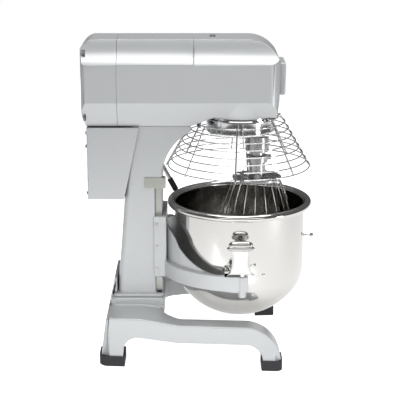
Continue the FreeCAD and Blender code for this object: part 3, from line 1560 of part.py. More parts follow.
def speed_lever_shape():
    """A shaft through the head's wall with a short lever and a round knob."""
    reach = mm.speed_lever_radius
    shaft = Part.makeCylinder(reach, 30, Vector(0, wall_y - 14, 0), Vector(0, 1, 0))
    hub = Part.makeCylinder(14, 10, Vector(0, wall_y + 0.4, 0), Vector(0, 1, 0))
    arm = rod(Vector(0, wall_y + 8, 0), Vector(0, wall_y + 14, 52), 4)
    knob = Part.makeSphere(10, Vector(0, wall_y + 15, 60))
    return shaft.multiFuse([hub, arm, knob]).removeSplitter()


node(casting("speed_lever", speed_lever_shape(), (mm.axis_x + speed_x, 0, speed_z)))


def check(items):
    """Stop if any object failed or any piece has no valid solid."""
    broken = [item.Name for item in doc.Objects
              if "Invalid" in item.State or "Error" in item.State]
    for item in items:
        shape = item.Shape
        if shape.isNull() or not shape.isValid() or not shape.Solids or shape.Volume <= 0:
            broken.append(item.Label)
    if broken:
        raise RuntimeError("failed: " + ", ".join(broken))


doc.recompute()
check(nodes)
os.makedirs("parts", exist_ok=True)
for item in nodes:
    item.Shape.exportStep(f"parts/{item.Label}.step")
    box = item.Shape.BoundBox
    print(f"{item.Label:24s} solids {len(item.Shape.Solids):3d} volume {item.Shape.Volume:12.1f} "
          f"x {box.XMin:7.1f} {box.XMax:7.1f} y {box.YMin:7.1f} {box.YMax:7.1f} "
          f"z {box.ZMin:7.1f} {box.ZMax:7.1f}")
print(len(nodes), "pieces")
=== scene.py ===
"""Looks of a bench-top planetary stand mixer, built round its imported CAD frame.

Sizes are in millimetres with the planetary axis at X = 0, as the castings are drawn.
Mould moves and scales them into the frame: metres, +X to the nose, +Z up.
"""

import json
import logging
import math
from dataclasses import dataclass, field
from enum import Enum

import bmesh
import bpy
import numpy as np
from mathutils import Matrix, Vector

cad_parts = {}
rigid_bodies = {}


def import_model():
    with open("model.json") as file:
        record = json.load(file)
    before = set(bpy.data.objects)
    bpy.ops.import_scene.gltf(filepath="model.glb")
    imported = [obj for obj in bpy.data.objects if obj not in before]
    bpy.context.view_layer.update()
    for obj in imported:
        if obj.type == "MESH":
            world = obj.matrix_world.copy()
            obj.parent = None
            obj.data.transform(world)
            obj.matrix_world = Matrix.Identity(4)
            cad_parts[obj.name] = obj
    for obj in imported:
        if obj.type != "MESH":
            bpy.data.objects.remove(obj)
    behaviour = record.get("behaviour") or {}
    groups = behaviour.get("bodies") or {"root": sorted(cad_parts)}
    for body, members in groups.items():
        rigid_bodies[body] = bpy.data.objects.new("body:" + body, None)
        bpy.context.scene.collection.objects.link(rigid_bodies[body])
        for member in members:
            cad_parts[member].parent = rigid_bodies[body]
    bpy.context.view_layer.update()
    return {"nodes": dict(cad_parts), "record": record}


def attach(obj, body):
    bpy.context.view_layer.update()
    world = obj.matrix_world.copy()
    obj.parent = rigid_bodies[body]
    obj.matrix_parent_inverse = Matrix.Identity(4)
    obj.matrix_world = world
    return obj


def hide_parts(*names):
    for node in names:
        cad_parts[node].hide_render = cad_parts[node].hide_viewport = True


MM = 0.001
AXIS_X = 101.0
SIDES = {"left": 1.0, "right": -1.0}
log = logging.getLogger("stand_mixer")


class Plane(Enum):
    """The plane in which a flat outline is drawn; the third axis is its depth."""

    XY = (0, 1, 2)
    XZ = (0, 2, 1)


class Body(Enum):
    """The moving bodies of the frame."""

    FRAME = "frame"
    PLANETARY = "planetary"
    TOOL = "tool"
    CARRIAGE = "carriage"
    GUARD = "swing_guard"


# Flat outlines and profiles

STRAIGHT = 1e-3


def rounded(corners: list, radius: float, steps: int = 6) -> np.ndarray:
    """Replace each corner of a closed polyline by an arc tangent to both of its sides.

    The arc's centre lies on the bisector, radius / sin(half angle) from the corner, and its
    points turn evenly from one tangent point to the other.

    Args:
        corners: Points (a, b) of the polyline.
        radius: Radius of every corner.
        steps: Segments in each arc.

    Returns:
        Array (n, 2) of points.
    """
    points = np.asarray(corners, float)
    share = np.linspace(0.0, 1.0, steps + 1)[:, None]
    pieces = []
    for here, before, after in zip(points, np.roll(points, 1, 0), np.roll(points, -1, 0)):
        back = (before - here) / np.linalg.norm(before - here)
        onward = (after - here) / np.linalg.norm(after - here)
        half = 0.5 * math.acos(float(np.clip(back @ onward, -1.0, 1.0)))
        turn = math.pi - 2.0 * half
        if turn < STRAIGHT:
            pieces.append(here[None])
            continue
        middle = (back + onward) / np.linalg.norm(back + onward)
        centre = here + middle * radius / math.sin(half)
        start = here + back * radius / math.tan(half) - centre
        end = here + onward * radius / math.tan(half) - centre
        arc = (np.sin((1 - share) * turn) * start + np.sin(share * turn) * end) / math.sin(turn)
        pieces.append(centre + arc)
    return np.vstack(pieces)


def moved_in(outline: np.ndarray, distance: float) -> np.ndarray:
    """Move a closed outline inwards: each point goes along the mitre of its two sides."""
    before = outline - np.roll(outline, 1, 0)
    after = np.roll(outline, -1, 0) - outline
    before = before / np.maximum(np.linalg.norm(before, axis=1, keepdims=True), 1e-9)
    after = after / np.maximum(np.linalg.norm(after, axis=1, keepdims=True), 1e-9)
    first = np.stack([-before[:, 1], before[:, 0]], 1)
    second = np.stack([-after[:, 1], after[:, 0]], 1)
    mitre = (first + second) / (1.0 + np.sum(first * second, 1, keepdims=True))
    following = np.roll(outline, -1, 0)
    area = np.sum(outline[:, 0] * following[:, 1] - following[:, 0] * outline[:, 1])
    return outline + math.copysign(distance, area) * mitre


def resampled(curve: np.ndarray, count: int) -> np.ndarray:
    """Points of a polyline at even distances along it."""
    steps = np.linalg.norm(np.diff(curve, axis=0), axis=1)
    along = np.concatenate([[0.0], np.cumsum(steps)])
    wanted = np.linspace(0.0, along[-1], count)
    return np.stack([np.interp(wanted, along, curve[:, axis]) for axis in range(curve.shape[1])], 1)


# Grids of points

def lathe(profile: np.ndarray, steps: int = 96, x: float = 0.0, y: float = 0.0) -> np.ndarray:
    """Turn a profile of (radius, z) about the vertical through (x, y).

    Point (i, j) is (x + r_i cos a_j, y + r_i sin a_j, z_i) with a_j even round the turn.

    Args:
        profile: Array (n, 2) of radii and heights.
        steps: Points round the turn.
        x: Axis place along X.
        y: Axis place along Y.

    Returns:
        Array (n, steps, 3).
    """
    profile = np.asarray(profile, float)
    angle = np.arange(steps) * (2.0 * math.pi / steps)
    radius = profile[:, :1]
    flat = np.zeros_like(angle)
    return np.stack([x + radius * np.cos(angle), y + radius * np.sin(angle),
                     profile[:, 1:2] + flat], -1)


RIM_STEPS = 3


def slab(outline: np.ndarray, low: float, high: float, plane: Plane, edge: float) -> np.ndarray:
    """A flat outline carried through a depth, with a quarter round of radius edge on both rims.

    Args:
        outline: Closed outline (n, 2).
        low: Depth where the piece starts.
        high: Depth where it ends.
        plane: Plane of the outline.
        edge: Radius of the rims.

    Returns:
        Array (rows, n, 3), to be capped at both ends.
    """
    turn = np.linspace(0.0, math.pi / 2, RIM_STEPS + 1)
    shifts = edge * (1.0 - np.sin(turn))
    rises = edge * (1.0 - np.cos(turn))
    rows = []
    for shift, depth in list(zip(shifts, low + rises)) + list(zip(shifts, high - rises))[::-1]:
        flat = moved_in(outline, shift)
        row = np.empty((len(outline), 3))
        row[:, plane.value[0]] = flat[:, 0]
        row[:, plane.value[1]] = flat[:, 1]
        row[:, plane.value[2]] = depth
        rows.append(row)
    return np.stack(rows)


BALL_START = 0.08


def tube(path: np.ndarray, radius: float | np.ndarray, normal: tuple, sides: int,
         ball_ends: bool = True) -> np.ndarray:
    """A round section carried along a path that lies in a plane.

    Each ring is centre + r (cos a * across + sin a * normal), where across is the plane's
    normal crossed with the path's direction. The ends close in a half ball.

    Args:
        path: Centre line (n, 3).
        radius: One radius, or one for each point.
        normal: Normal of the path's plane.
        sides: Points round the section.
        ball_ends: Whether the ends are rounded.

    Returns:
        Array (rows, sides, 3).
    """
    path = np.asarray(path, float)
    size = np.broadcast_to(np.asarray(radius, float), (len(path),)).copy()
    direction = np.gradient(path, axis=0)
    direction = direction / np.linalg.norm(direction, axis=1, keepdims=True)
    if ball_ends:
        turn = np.linspace(BALL_START, math.pi / 2, 4)[:-1]
        head = path[0] - direction[0] * (size[0] * np.cos(turn))[:, None]
        tail = path[-1] + direction[-1] * (size[-1] * np.cos(turn[::-1]))[:, None]
        path = np.vstack([head, path, tail])
        direction = np.vstack([np.repeat(direction[:1], len(turn), 0), direction,
                               np.repeat(direction[-1:], len(turn), 0)])
        size = np.concatenate([size[0] * np.sin(turn), size, size[-1] * np.sin(turn[::-1])])
    up = np.asarray(normal, float) / np.linalg.norm(normal)
    across = np.cross(up, direction)
    across = across / np.linalg.norm(across, axis=1, keepdims=True)
    angle = np.arange(sides) * (2.0 * math.pi / sides)
    ring = (np.cos(angle)[None, :, None] * across[:, None, :]
            + np.sin(angle)[None, :, None] * up[None, None, :])
    return path[:, None, :] + size[:, None, None] * ring


def turned_about(points: np.ndarray, degrees: float) -> np.ndarray:
    """Turn points about the planetary axis."""
    angle = math.radians(degrees)
    spin = np.array([[math.cos(angle), math.sin(angle), 0.0],
                     [-math.sin(angle), math.cos(angle), 0.0], [0.0, 0.0, 1.0]])
    return points @ spin


def mirrored(points: np.ndarray, sign: float) -> np.ndarray:
    """Points as they are for +1, or on the other side of the machine for -1."""
    return points * np.array([1.0, sign, 1.0])


WELD = 2e-6
NEEDLE = 1e-7


@dataclass
class Mould:
    """Gathers grids of points into one closed mesh in the frame's own metres."""

    name: str
    points: list = field(default_factory=list)
    faces: list = field(default_factory=list)
    count: int = 0

    def add(self, grid: np.ndarray, wrap_rows: bool = False, caps: bool = True) -> "Mould":
        """Join the neighbours of a grid into quads, with its last column joined to the first.

        Args:
            grid: Array (rows, columns, 3) in millimetres.
            wrap_rows: Whether the last row joins the first.
            caps: Whether the first and last rows are closed with a face each.

        Returns:
            The mould itself.
        """
        rows, columns = grid.shape[:2]
        index = np.arange(rows * columns).reshape(rows, columns) + self.count
        below = np.vstack([index, index[:1]]) if wrap_rows else index
        wide = np.hstack([below, below[:, :1]])
        quads = np.stack([wide[:-1, :-1], wide[:-1, 1:], wide[1:, 1:], wide[1:, :-1]], -1)
        self.points.append(grid.reshape(-1, 3))
        self.faces.extend(quads.reshape(-1, 4).tolist())
        if caps:
            self.faces.append(index[0, ::-1].tolist())
            self.faces.append(index[-1].tolist())
        self.count += rows * columns
        return self

    def cast(self, finish: bpy.types.Material, body: Body, stands_for: tuple,
             slot: str, sharp: float) -> None:
        """Make the mesh, weld its seams and poles, turn its faces outwards and dress it.

        Args:
            finish: Material of the piece.
            body: Body that the piece rides on.
            stands_for: CAD nodes that it replaces.
            slot: Material slot of the record; not used.
            sharp: Angle in degrees past which an edge is shaded sharp.
        """
        mesh = bpy.data.meshes.new(self.name)
        place = (np.vstack(self.points) + np.array([AXIS_X, 0.0, 0.0])) * MM
        mesh.from_pydata(place.tolist(), [], self.faces)
        work = bmesh.new()
        work.from_mesh(mesh)
        bmesh.ops.remove_doubles(work, verts=work.verts, dist=WELD)
        bmesh.ops.dissolve_degenerate(work, edges=work.edges, dist=NEEDLE)
        bmesh.ops.recalc_face_normals(work, faces=work.faces)
        work.to_mesh(mesh)
        work.free()
        piece = bpy.data.objects.new(self.name, mesh)
        bpy.context.scene.collection.objects.link(piece)
        piece.data.polygons.foreach_set("use_smooth", np.ones(len(piece.data.polygons), bool))
        piece.data.set_sharp_from_angle(angle=math.radians(sharp))
        piece.data.materials.append(finish)
        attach(piece, body.value)
        if stands_for:
            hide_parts(*stands_for)
        log.info("%s: %d faces on %s", self.name, len(piece.data.polygons), body.value)


def settle(piece: bpy.types.Object) -> None:
    """Bake a piece's modifiers into its mesh."""
    graph = bpy.context.evaluated_depsgraph_get()
    baked = bpy.data.meshes.new_from_object(piece.evaluated_get(graph))
    piece.modifiers.clear()
    piece.data = baked


# Which edges of a casting are rounded, and how
SHARP_EDGE = math.radians(24.0)
FLAT_ENOUGH = math.radians(0.4)
CASTING_WELD = 1e-5
SEAM_SHARE = 0.2
ON_PLANE = 0.6
SHOE_TOP_Z = 26.5
ROUNDING_STEPS = 3

# Names of the frame's objects by CAD node, filled in by main
FRAME_OBJECTS: dict[str, str] = {}


def softened(node: str, name: str, width: float, seams: tuple) -> bpy.types.Object:
    """A copy of a CAD casting whose edges are rounded over.

    Every edge that turns more than SHARP_EDGE gets a quarter round of the given width; an edge
    in one of the seam planes gets only SEAM_SHARE of it, so that joints stay narrow, and an
    edge of the base in the rubber shoes gets none.

    Args:
        node: CAD node to copy and stand for.
        name: Name of the new piece.
        width: Radius in millimetres.
        seams: Planes (axis, level in millimetres from the planetary axis) of narrow joints.

    Returns:
        The new object, with no material yet.
    """
    source = bpy.data.objects[FRAME_OBJECTS[node]]
    mesh = source.data.copy()
    mesh.name = name
    work = bmesh.new()
    work.from_mesh(mesh)
    bmesh.ops.remove_doubles(work, verts=work.verts, dist=CASTING_WELD)
    bmesh.ops.dissolve_limit(work, angle_limit=FLAT_ENOUGH, verts=work.verts, edges=work.edges)
    layer = work.edges.layers.float.new("bevel_weight_edge")
    for edge in work.edges:
        if len(edge.link_faces) != 2 or edge.calc_face_angle() < SHARP_EDGE:
            continue
        ends = [(vertex.co / MM)[:] for vertex in edge.verts]
        places = [(x - AXIS_X, y, z) for x, y, z in ends]
        if node == "base_casting" and min(z for _, _, z in places) < SHOE_TOP_Z:
            continue
        on_seam = any(all(abs(place[axis] - level) < ON_PLANE for place in places)
                      for axis, level in seams)
        edge[layer] = SEAM_SHARE if on_seam else 1.0
    work.to_mesh(mesh)
    work.free()
    piece = bpy.data.objects.new(name, mesh)
    bpy.context.scene.collection.objects.link(piece)
    mesh.polygons.foreach_set("use_smooth", np.ones(len(mesh.polygons), bool))
    rounding = piece.modifiers.new("rounding", "BEVEL")
    rounding.limit_method = "WEIGHT"
    rounding.width = width * MM
    rounding.segments = ROUNDING_STEPS
    rounding.use_clamp_overlap = False
    shading = piece.modifiers.new("shading", "WEIGHTED_NORMAL")
    shading.mode = "FACE_AREA"
    shading.keep_sharp = True
    settle(piece)
    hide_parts(node)
    return piece


# Finishes

COAT_ROUGHNESS = 0.12
LEAST_ROUGHNESS = 0.02
MOTTLE_SCALE = 22.0
BUMP_STRENGTH = 0.6


@dataclass(frozen=True)
class Finish:
    """A procedural material: a colour that varies a little, and a fine grain in its gloss.

    Attributes:
        name: Name of the material.
        colour: Linear red, green and blue.
        metallic: Metal share.
        roughness: Middle roughness.
        spread: How far the grain moves the roughness.
        variation: How far the mottle moves the colour.
        grain: Grains per metre, along X, Y and Z.
        relief: Height of the grain in millimetres.
        coat: Clear coat weight.
        specular: Specular level.
    """

    name: str
    colour: tuple[float, float, float]
    metallic: float = 0.0
    roughness: float = 0.4
    spread: float = 0.08
    variation: float = 0.04
    grain: tuple[float, float, float] = (900.0, 900.0, 900.0)
    relief: float = 0.01
    coat: float = 0.0
    specular: float = 0.5

    def material(self) -> bpy.types.Material:
        """Build the material, or return it if it is already there."""
        found = bpy.data.materials.get(self.name)
        if found:
            return found
        made = bpy.data.materials.new(self.name)
        made.use_nodes = True
        nodes = made.node_tree.nodes
        link = made.node_tree.links.new
        shader = nodes["Principled BSDF"]
        shader.inputs["Metallic"].default_value = self.metallic
        shader.inputs["Coat Weight"].default_value = self.coat
        shader.inputs["Coat Roughness"].default_value = COAT_ROUGHNESS
        shader.inputs["Specular IOR Level"].default_value = self.specular
        place = nodes.new("ShaderNodeTexCoord")
        stretch = nodes.new("ShaderNodeMapping")
        stretch.inputs["Scale"].default_value = self.grain
        link(place.outputs["Object"], stretch.inputs["Vector"])
        fine = nodes.new("ShaderNodeTexNoise")
        fine.inputs["Scale"].default_value = 1.0
        fine.inputs["Detail"].default_value = 3.0
        link(stretch.outputs["Vector"], fine.inputs["Vector"])
        broad = nodes.new("ShaderNodeTexNoise")
        broad.inputs["Scale"].default_value = MOTTLE_SCALE
        broad.inputs["Detail"].default_value = 4.0
        link(place.outputs["Object"], broad.inputs["Vector"])
        gloss = nodes.new("ShaderNodeMapRange")
        gloss.inputs["To Min"].default_value = max(LEAST_ROUGHNESS, self.roughness - self.spread)
        gloss.inputs["To Max"].default_value = self.roughness + self.spread
        link(fine.outputs["Fac"], gloss.inputs["Value"])
        link(gloss.outputs["Result"], shader.inputs["Roughness"])
        tint = nodes.new("ShaderNodeMix")
        tint.data_type = "RGBA"
        tint.inputs["A"].default_value = (*[part * (1 - self.variation) for part in self.colour], 1)
        tint.inputs["B"].default_value = (*[min(1, part * (1 + self.variation))
                                            for part in self.colour], 1)
        link(broad.outputs["Fac"], tint.inputs["Factor"])
        link(tint.outputs["Result"], shader.inputs["Base Color"])
        if self.relief:
            bump = nodes.new("ShaderNodeBump")
            bump.inputs["Distance"].default_value = self.relief * MM
            bump.inputs["Strength"].default_value = BUMP_STRENGTH
            link(fine.outputs["Fac"], bump.inputs["Height"])
            link(bump.outputs["Normal"], shader.inputs["Normal"])
        return made


PAINT = Finish("silver_paint", (0.50, 0.515, 0.525), 0.2, 0.34, 0.05, 0.015,
               (1400, 1400, 1400), 0.012, 0.25)
STEEL = Finish("polished_steel", (0.70, 0.69, 0.67), 1.0, 0.10, 0.03, 0.02, (30, 30, 2600), 0.0008)
CHROME = Finish("bright_chrome", (0.80, 0.80, 0.79), 1.0, 0.05, 0.02, 0.01, (500, 500, 500), 0.0)
HANDLE = Finish("drawn_steel", (0.58, 0.575, 0.56), 1.0, 0.11, 0.03, 0.02, (900, 40, 40), 0.001)
TURNED = Finish("turned_steel", (0.50, 0.50, 0.50), 1.0, 0.26, 0.06, 0.03, (60, 60, 2400), 0.002)
PLATED = Finish("plated_steel", (0.56, 0.57, 0.53), 1.0, 0.38, 0.08, 0.05, (900, 900, 900), 0.004)
RUBBER = Finish("black_rubber", (0.006, 0.006, 0.0065), 0.0, 0.72, 0.10, 0.2, (1600, 1600, 1600),
                0.02, 0.0, 0.12)
PLASTIC = Finish("black_plastic", (0.012, 0.012, 0.013), 0.0, 0.42, 0.06, 0.1, (2000, 2000, 2000),
                 0.01, 0.0, 0.3)
IRON = Finish("raw_iron", (0.16, 0.16, 0.165), 0.6, 0.5, 0.1, 0.1, (700, 700, 700), 0.02)
BRONZE = Finish("bearing_bronze", (0.42, 0.28, 0.12), 1.0, 0.35, 0.06, 0.05, (700, 700, 700), 0.004)
COPPER = Finish("wound_copper", (0.35, 0.14, 0.06), 0.8, 0.45, 0.1, 0.1, (60, 60, 1500), 0.05)
BELT = Finish("belt_rubber", (0.02, 0.02, 0.02), 0.0, 0.7, 0.1, 0.1, (300, 300, 2000), 0.03)
RED = Finish("red_cap", (0.50, 0.02, 0.015), 0.0, 0.3, 0.05, 0.05, (1500, 1500, 1500), 0.005)
GREEN = Finish("green_cap", (0.02, 0.28, 0.06), 0.0, 0.3, 0.05, 0.05, (1500, 1500, 1500), 0.005)


SENSOR = 36.0
AMBIENT = 0.36
GLOSS_LOW = 0.10
GLOSS_HIGH = 0.16
GLOSS_FROM = 0.2
GLOSS_TO = 0.9
TABLE_GLOW = 0.32
TABLE_GLOW_SEEN = 0.6
TABLE_GREY = 0.86


@dataclass
class Studio:
    """Camera, pale floor and plain soft light.

    Attributes:
        eye: Camera place in metres.
        pitch_down: Camera's tilt below the horizon in degrees.
        lens: Focal length on a 36 mm sensor.
    """

    eye: tuple[float, float, float] = (0.0027, -2.987, 1.1783)
    pitch_down: float = 15.2
    lens: float = 111.49

    def camera(self) -> None:
        """Set the camera ahead of the machine's side, looking a little down."""
        data = bpy.data.cameras.new("camera")
        data.lens = self.lens
        data.sensor_width = SENSOR
        data.clip_end = 100.0
        seat = bpy.data.objects.new("camera", data)
        seat.location = self.eye
        seat.rotation_euler = (math.radians(90.0 - self.pitch_down), 0.0, 0.0)
        bpy.context.scene.collection.objects.link(seat)
        bpy.context.scene.camera = seat

    def lamp(self, name: str, at: tuple, towards: tuple, size: tuple, power: float,
             glossy: bool = True) -> None:
        """One rectangular soft light.

        Args:
            name: Name of the light.
            at: Place in metres.
            towards: Point that it faces.
            size: Width and height in metres.
            power: Power in watts.
            glossy: Whether reflections show it.
        """
        data = bpy.data.lights.new(name, "AREA")
        data.shape = "RECTANGLE"
        data.size, data.size_y = size
        data.energy = power
        lamp = bpy.data.objects.new(name, data)
        lamp.location = at
        aim = np.asarray(towards, float) - np.asarray(at, float)
        lamp.rotation_euler = Vector(aim).to_track_quat("-Z", "Y").to_euler()
        lamp.visible_camera = False
        lamp.visible_glossy = glossy
        bpy.context.scene.collection.objects.link(lamp)

    def world(self) -> None:
        """White for the camera, a soft level for diffuse light, darker overhead for gloss."""
        world = bpy.data.worlds.new("studio")
        bpy.context.scene.world = world
        world.use_nodes = True
        nodes = world.node_tree.nodes
        link = world.node_tree.links.new
        back = nodes["Background"]
        path = nodes.new("ShaderNodeLightPath")
        seen = nodes.new("ShaderNodeMath")
        seen.operation = "MAXIMUM"
        link(path.outputs["Is Camera Ray"], seen.inputs[0])
        link(path.outputs["Is Transmission Ray"], seen.inputs[1])
        place = nodes.new("ShaderNodeTexCoord")
        split = nodes.new("ShaderNodeSeparateXYZ")
        link(place.outputs["Generated"], split.inputs["Vector"])
        height = nodes.new("ShaderNodeMapRange")
        height.inputs["From Min"].default_value = GLOSS_FROM
        height.inputs["From Max"].default_value = GLOSS_TO
        height.inputs["To Min"].default_value = GLOSS_LOW
        height.inputs["To Max"].default_value = GLOSS_HIGH
        link(split.outputs["Z"], height.inputs["Value"])
        gloss = nodes.new("ShaderNodeMix")
        gloss.data_type = "FLOAT"
        gloss.inputs["A"].default_value = AMBIENT
        link(path.outputs["Is Glossy Ray"], gloss.inputs["Factor"])
        link(height.outputs["Result"], gloss.inputs["B"])
        level = nodes.new("ShaderNodeMix")
        level.data_type = "FLOAT"
        level.inputs["B"].default_value = 1.0
        link(gloss.outputs["Result"], level.inputs["A"])
        link(seen.outputs[0], level.inputs["Factor"])
        link(level.outputs["Result"], back.inputs["Strength"])
        back.inputs["Color"].default_value = (1, 1, 1, 1)

    def floor(self) -> None:
        """A pale floor that shows white to the camera and still takes the object's shadow."""
        mesh = bpy.data.meshes.new("floor")
        front, back, side = -1.7, 4.0, 2.6
        mesh.from_pydata([(-side, front, 0), (side, front, 0), (side, back, 0),
                          (-side, back, 0)], [], [(0, 1, 2, 3)])
        floor = bpy.data.objects.new("floor", mesh)
        bpy.context.scene.collection.objects.link(floor)
        made = bpy.data.materials.new("pale_floor")
        made.use_nodes = True
        nodes = made.node_tree.nodes
        link = made.node_tree.links.new
        shader = nodes["Principled BSDF"]
        shader.inputs["Base Color"].default_value = (TABLE_GREY, TABLE_GREY, TABLE_GREY, 1)
        shader.inputs["Roughness"].default_value = 0.9
        shader.inputs["Specular IOR Level"].default_value = 0.0
        path = nodes.new("ShaderNodeLightPath")
        shader.inputs["Emission Color"].default_value = (1, 1, 1, 1)
        glow = nodes.new("ShaderNodeMath")
        glow.operation = "MULTIPLY_ADD"
        glow.inputs[1].default_value = TABLE_GLOW_SEEN
        glow.inputs[2].default_value = TABLE_GLOW
        link(path.outputs["Is Camera Ray"], glow.inputs[0])
        link(glow.outputs[0], shader.inputs["Emission Strength"])
        mesh.materials.append(made)

    def build(self) -> None:
        """Set up the whole studio."""
        self.camera()
        self.world()
        self.floor()
        self.lamp("top_softbox", (0.1, -0.05, 2.3), (0.05, 0.05, 0.3), (1.8, 1.3), 34.0)
        self.lamp("low_softbox", (0.1, -1.7, 0.9), (0.0, 0.0, 0.1), (2.4, 0.4), 6.0)
        self.lamp("near_fill", (-0.1, -0.85, 0.1), (-0.1, 0.0, 0.2), (1.0, 0.16), 2.2, False)
        self.lamp("right_strip", (1.75, -0.9, 0.22), (0.1, 0.0, 0.5), (0.3, 0.4), 5.0)
        view = bpy.context.scene.view_settings
        view.view_transform = "Standard"


DRESSES = {
    PAINT: ("head_housing", "top_cover", "rear_cover", "attachment_hub_cover", "column",
            "base_casting", "bowl_yoke", "electrical_box", "box_cover"),
    STEEL: ("bowl", "bowl_handle_left", "bowl_handle_right", "bowl_stud", "whisk_wires"),
    CHROME: ("drip_collar", "rear_guard", "front_guard", "lift_lever", "speed_lever",
             "bowl_clamp_left", "bowl_clamp_right", "guard_track"),
    TURNED: ("tool_shaft", "whisk_hub", "cross_pin", "planetary_carrier", "main_shaft",
             "lift_shaft"),
    PLATED: ("slide_ways", "stop_bracket", "gib_screws", "motor_plate"),
    RUBBER: ("foot_front_left", "foot_front_right", "foot_rear_left", "foot_rear_right",
             "cord_gland"),
    PLASTIC: ("control_panel", "switch_block", "timer_knob", "relay_block", "lift_grip",
              "cooling_fan", "start_capacitor", "reset_button"),
    IRON: ("ring_gear", "planet_gear", "driven_pulley", "motor_pulley", "motor_casing",
           "lift_gear", "lift_rack", "cover_screws"),
    BRONZE: ("main_shaft_bearings", "tool_shaft_bearings", "lift_bush"),
    COPPER: ("motor_rotor",),
    BELT: ("drive_belt",),
    RED: ("stop_button",),
    GREEN: ("start_button",),
}


# Planes of the faces at the joints of the rear cover and the lid, and of the chin's foot
HEAD_SEAMS = ((0, -296.3), (0, -295.7), (0, -113.3), (0, -112.7), (2, 720.7), (2, 721.3),
              (2, 588.0))

# CAD nodes with the radius of their rounded edges, by finish
SOFTENED = {
    PAINT: (("head_housing", 1.4), ("top_cover", 1.4), ("rear_cover", 1.4),
            ("attachment_hub_cover", 4.0), ("column", 3.0), ("base_casting", 4.5),
            ("bowl_yoke", 2.2), ("electrical_box", 0.8), ("box_cover", 1.0)),
    PLATED: (("slide_ways", 0.6), ("stop_bracket", 0.8)),
    TURNED: (("whisk_hub", 1.0), ("planetary_carrier", 1.0)),
    RUBBER: (("foot_front_left", 1.2), ("foot_front_right", 1.2), ("foot_rear_left", 1.2),
             ("foot_rear_right", 1.2), ("cord_gland", 0.6)),
}


@dataclass
class Castings:
    """The CAD castings and plates with their edges rounded over."""

    owners: dict

    def build(self) -> None:
        """Replace each casting by its softened copy, in its own finish."""
        for finish, rows in SOFTENED.items():
            for node, width in rows:
                piece = softened(node, f"{node}_cast", width, HEAD_SEAMS)
                piece.data.materials.clear()
                piece.data.materials.append(finish.material())
                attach(piece, self.owners[node])
                log.info("%s softened", node)


@dataclass
class Bowl:
    """The pressed bowl with its rolled rim and its two handles.

    Attributes:
        radius: Outer radius of the upright.
        thickness: Wall.
        knuckle: Outer radius of the arc between the floor and the upright.
        knuckle_z: Level where the knuckle meets the upright.
        bottom_z: Lowest level.
        rim_z: Level of the curl's centre.
        curl: Outer radius of the rim's curl.
        curl_wall: Wall of the curl.
        curl_drop: Degrees that the curl goes on below the level of its centre.
    """

    radius: float = 161.0
    thickness: float = 1.8
    knuckle: float = 100.0
    knuckle_z: float = 205.0
    bottom_z: float = 75.0
    rim_z: float = 366.0
    curl: float = 9.0
    curl_wall: float = 1.2
    curl_drop: float = 50.0

    def wall(self, inset: float) -> np.ndarray:
        """One face of the wall from the pole to the rim.

        A crown arc about the axis runs tangent into a knuckle arc, and that into the upright.

        Args:
            inset: Distance in from the outer face.

        Returns:
            Array (n, 2) of radius and height.
        """
        centre = self.radius - self.knuckle
        knuckle = self.knuckle - inset
        depth = self.knuckle_z - self.bottom_z - inset
        crown = (centre ** 2 + depth ** 2 - knuckle ** 2) / (2.0 * (depth - knuckle))
        crown_z = self.knuckle_z - depth + crown
        lean = math.atan2(centre, crown_z - self.knuckle_z)
        low = np.linspace(0.0, lean, 26)
        high = np.linspace(lean, math.pi / 2, 40)[1:]
        floor = np.stack([crown * np.sin(low), crown_z - crown * np.cos(low)], 1)
        bend = np.stack([centre + knuckle * np.sin(high),
                         self.knuckle_z - knuckle * np.cos(high)], 1)
        upright = np.stack([np.full(8, self.radius - inset),
                            np.linspace(self.knuckle_z, self.rim_z, 9)[1:]], 1)
        return np.vstack([floor, bend, upright])

    def roll(self, radius: float) -> np.ndarray:
        """The rim's curl: an arc from the upright over the top and down outside."""
        turn = np.linspace(math.pi, -math.radians(self.curl_drop), 22)[1:]
        return np.stack([self.radius + self.curl + radius * np.cos(turn),
                         self.rim_z + radius * np.sin(turn)], 1)

    def build(self) -> None:
        """Cast the bowl and its handles."""
        outer = np.vstack([self.wall(0.0), self.roll(self.curl - self.curl_wall)])
        inner = np.vstack([self.wall(self.thickness), self.roll(self.curl)])
        profile = np.vstack([outer, inner[::-1]])
        Mould("bowl_shell").add(lathe(profile, 192), caps=False).cast(
            STEEL.material(), Body.CARRIAGE, ("bowl",), "stainless_steel", 40.0)
        for side, sign in SIDES.items():
            Handle(side, sign).build()


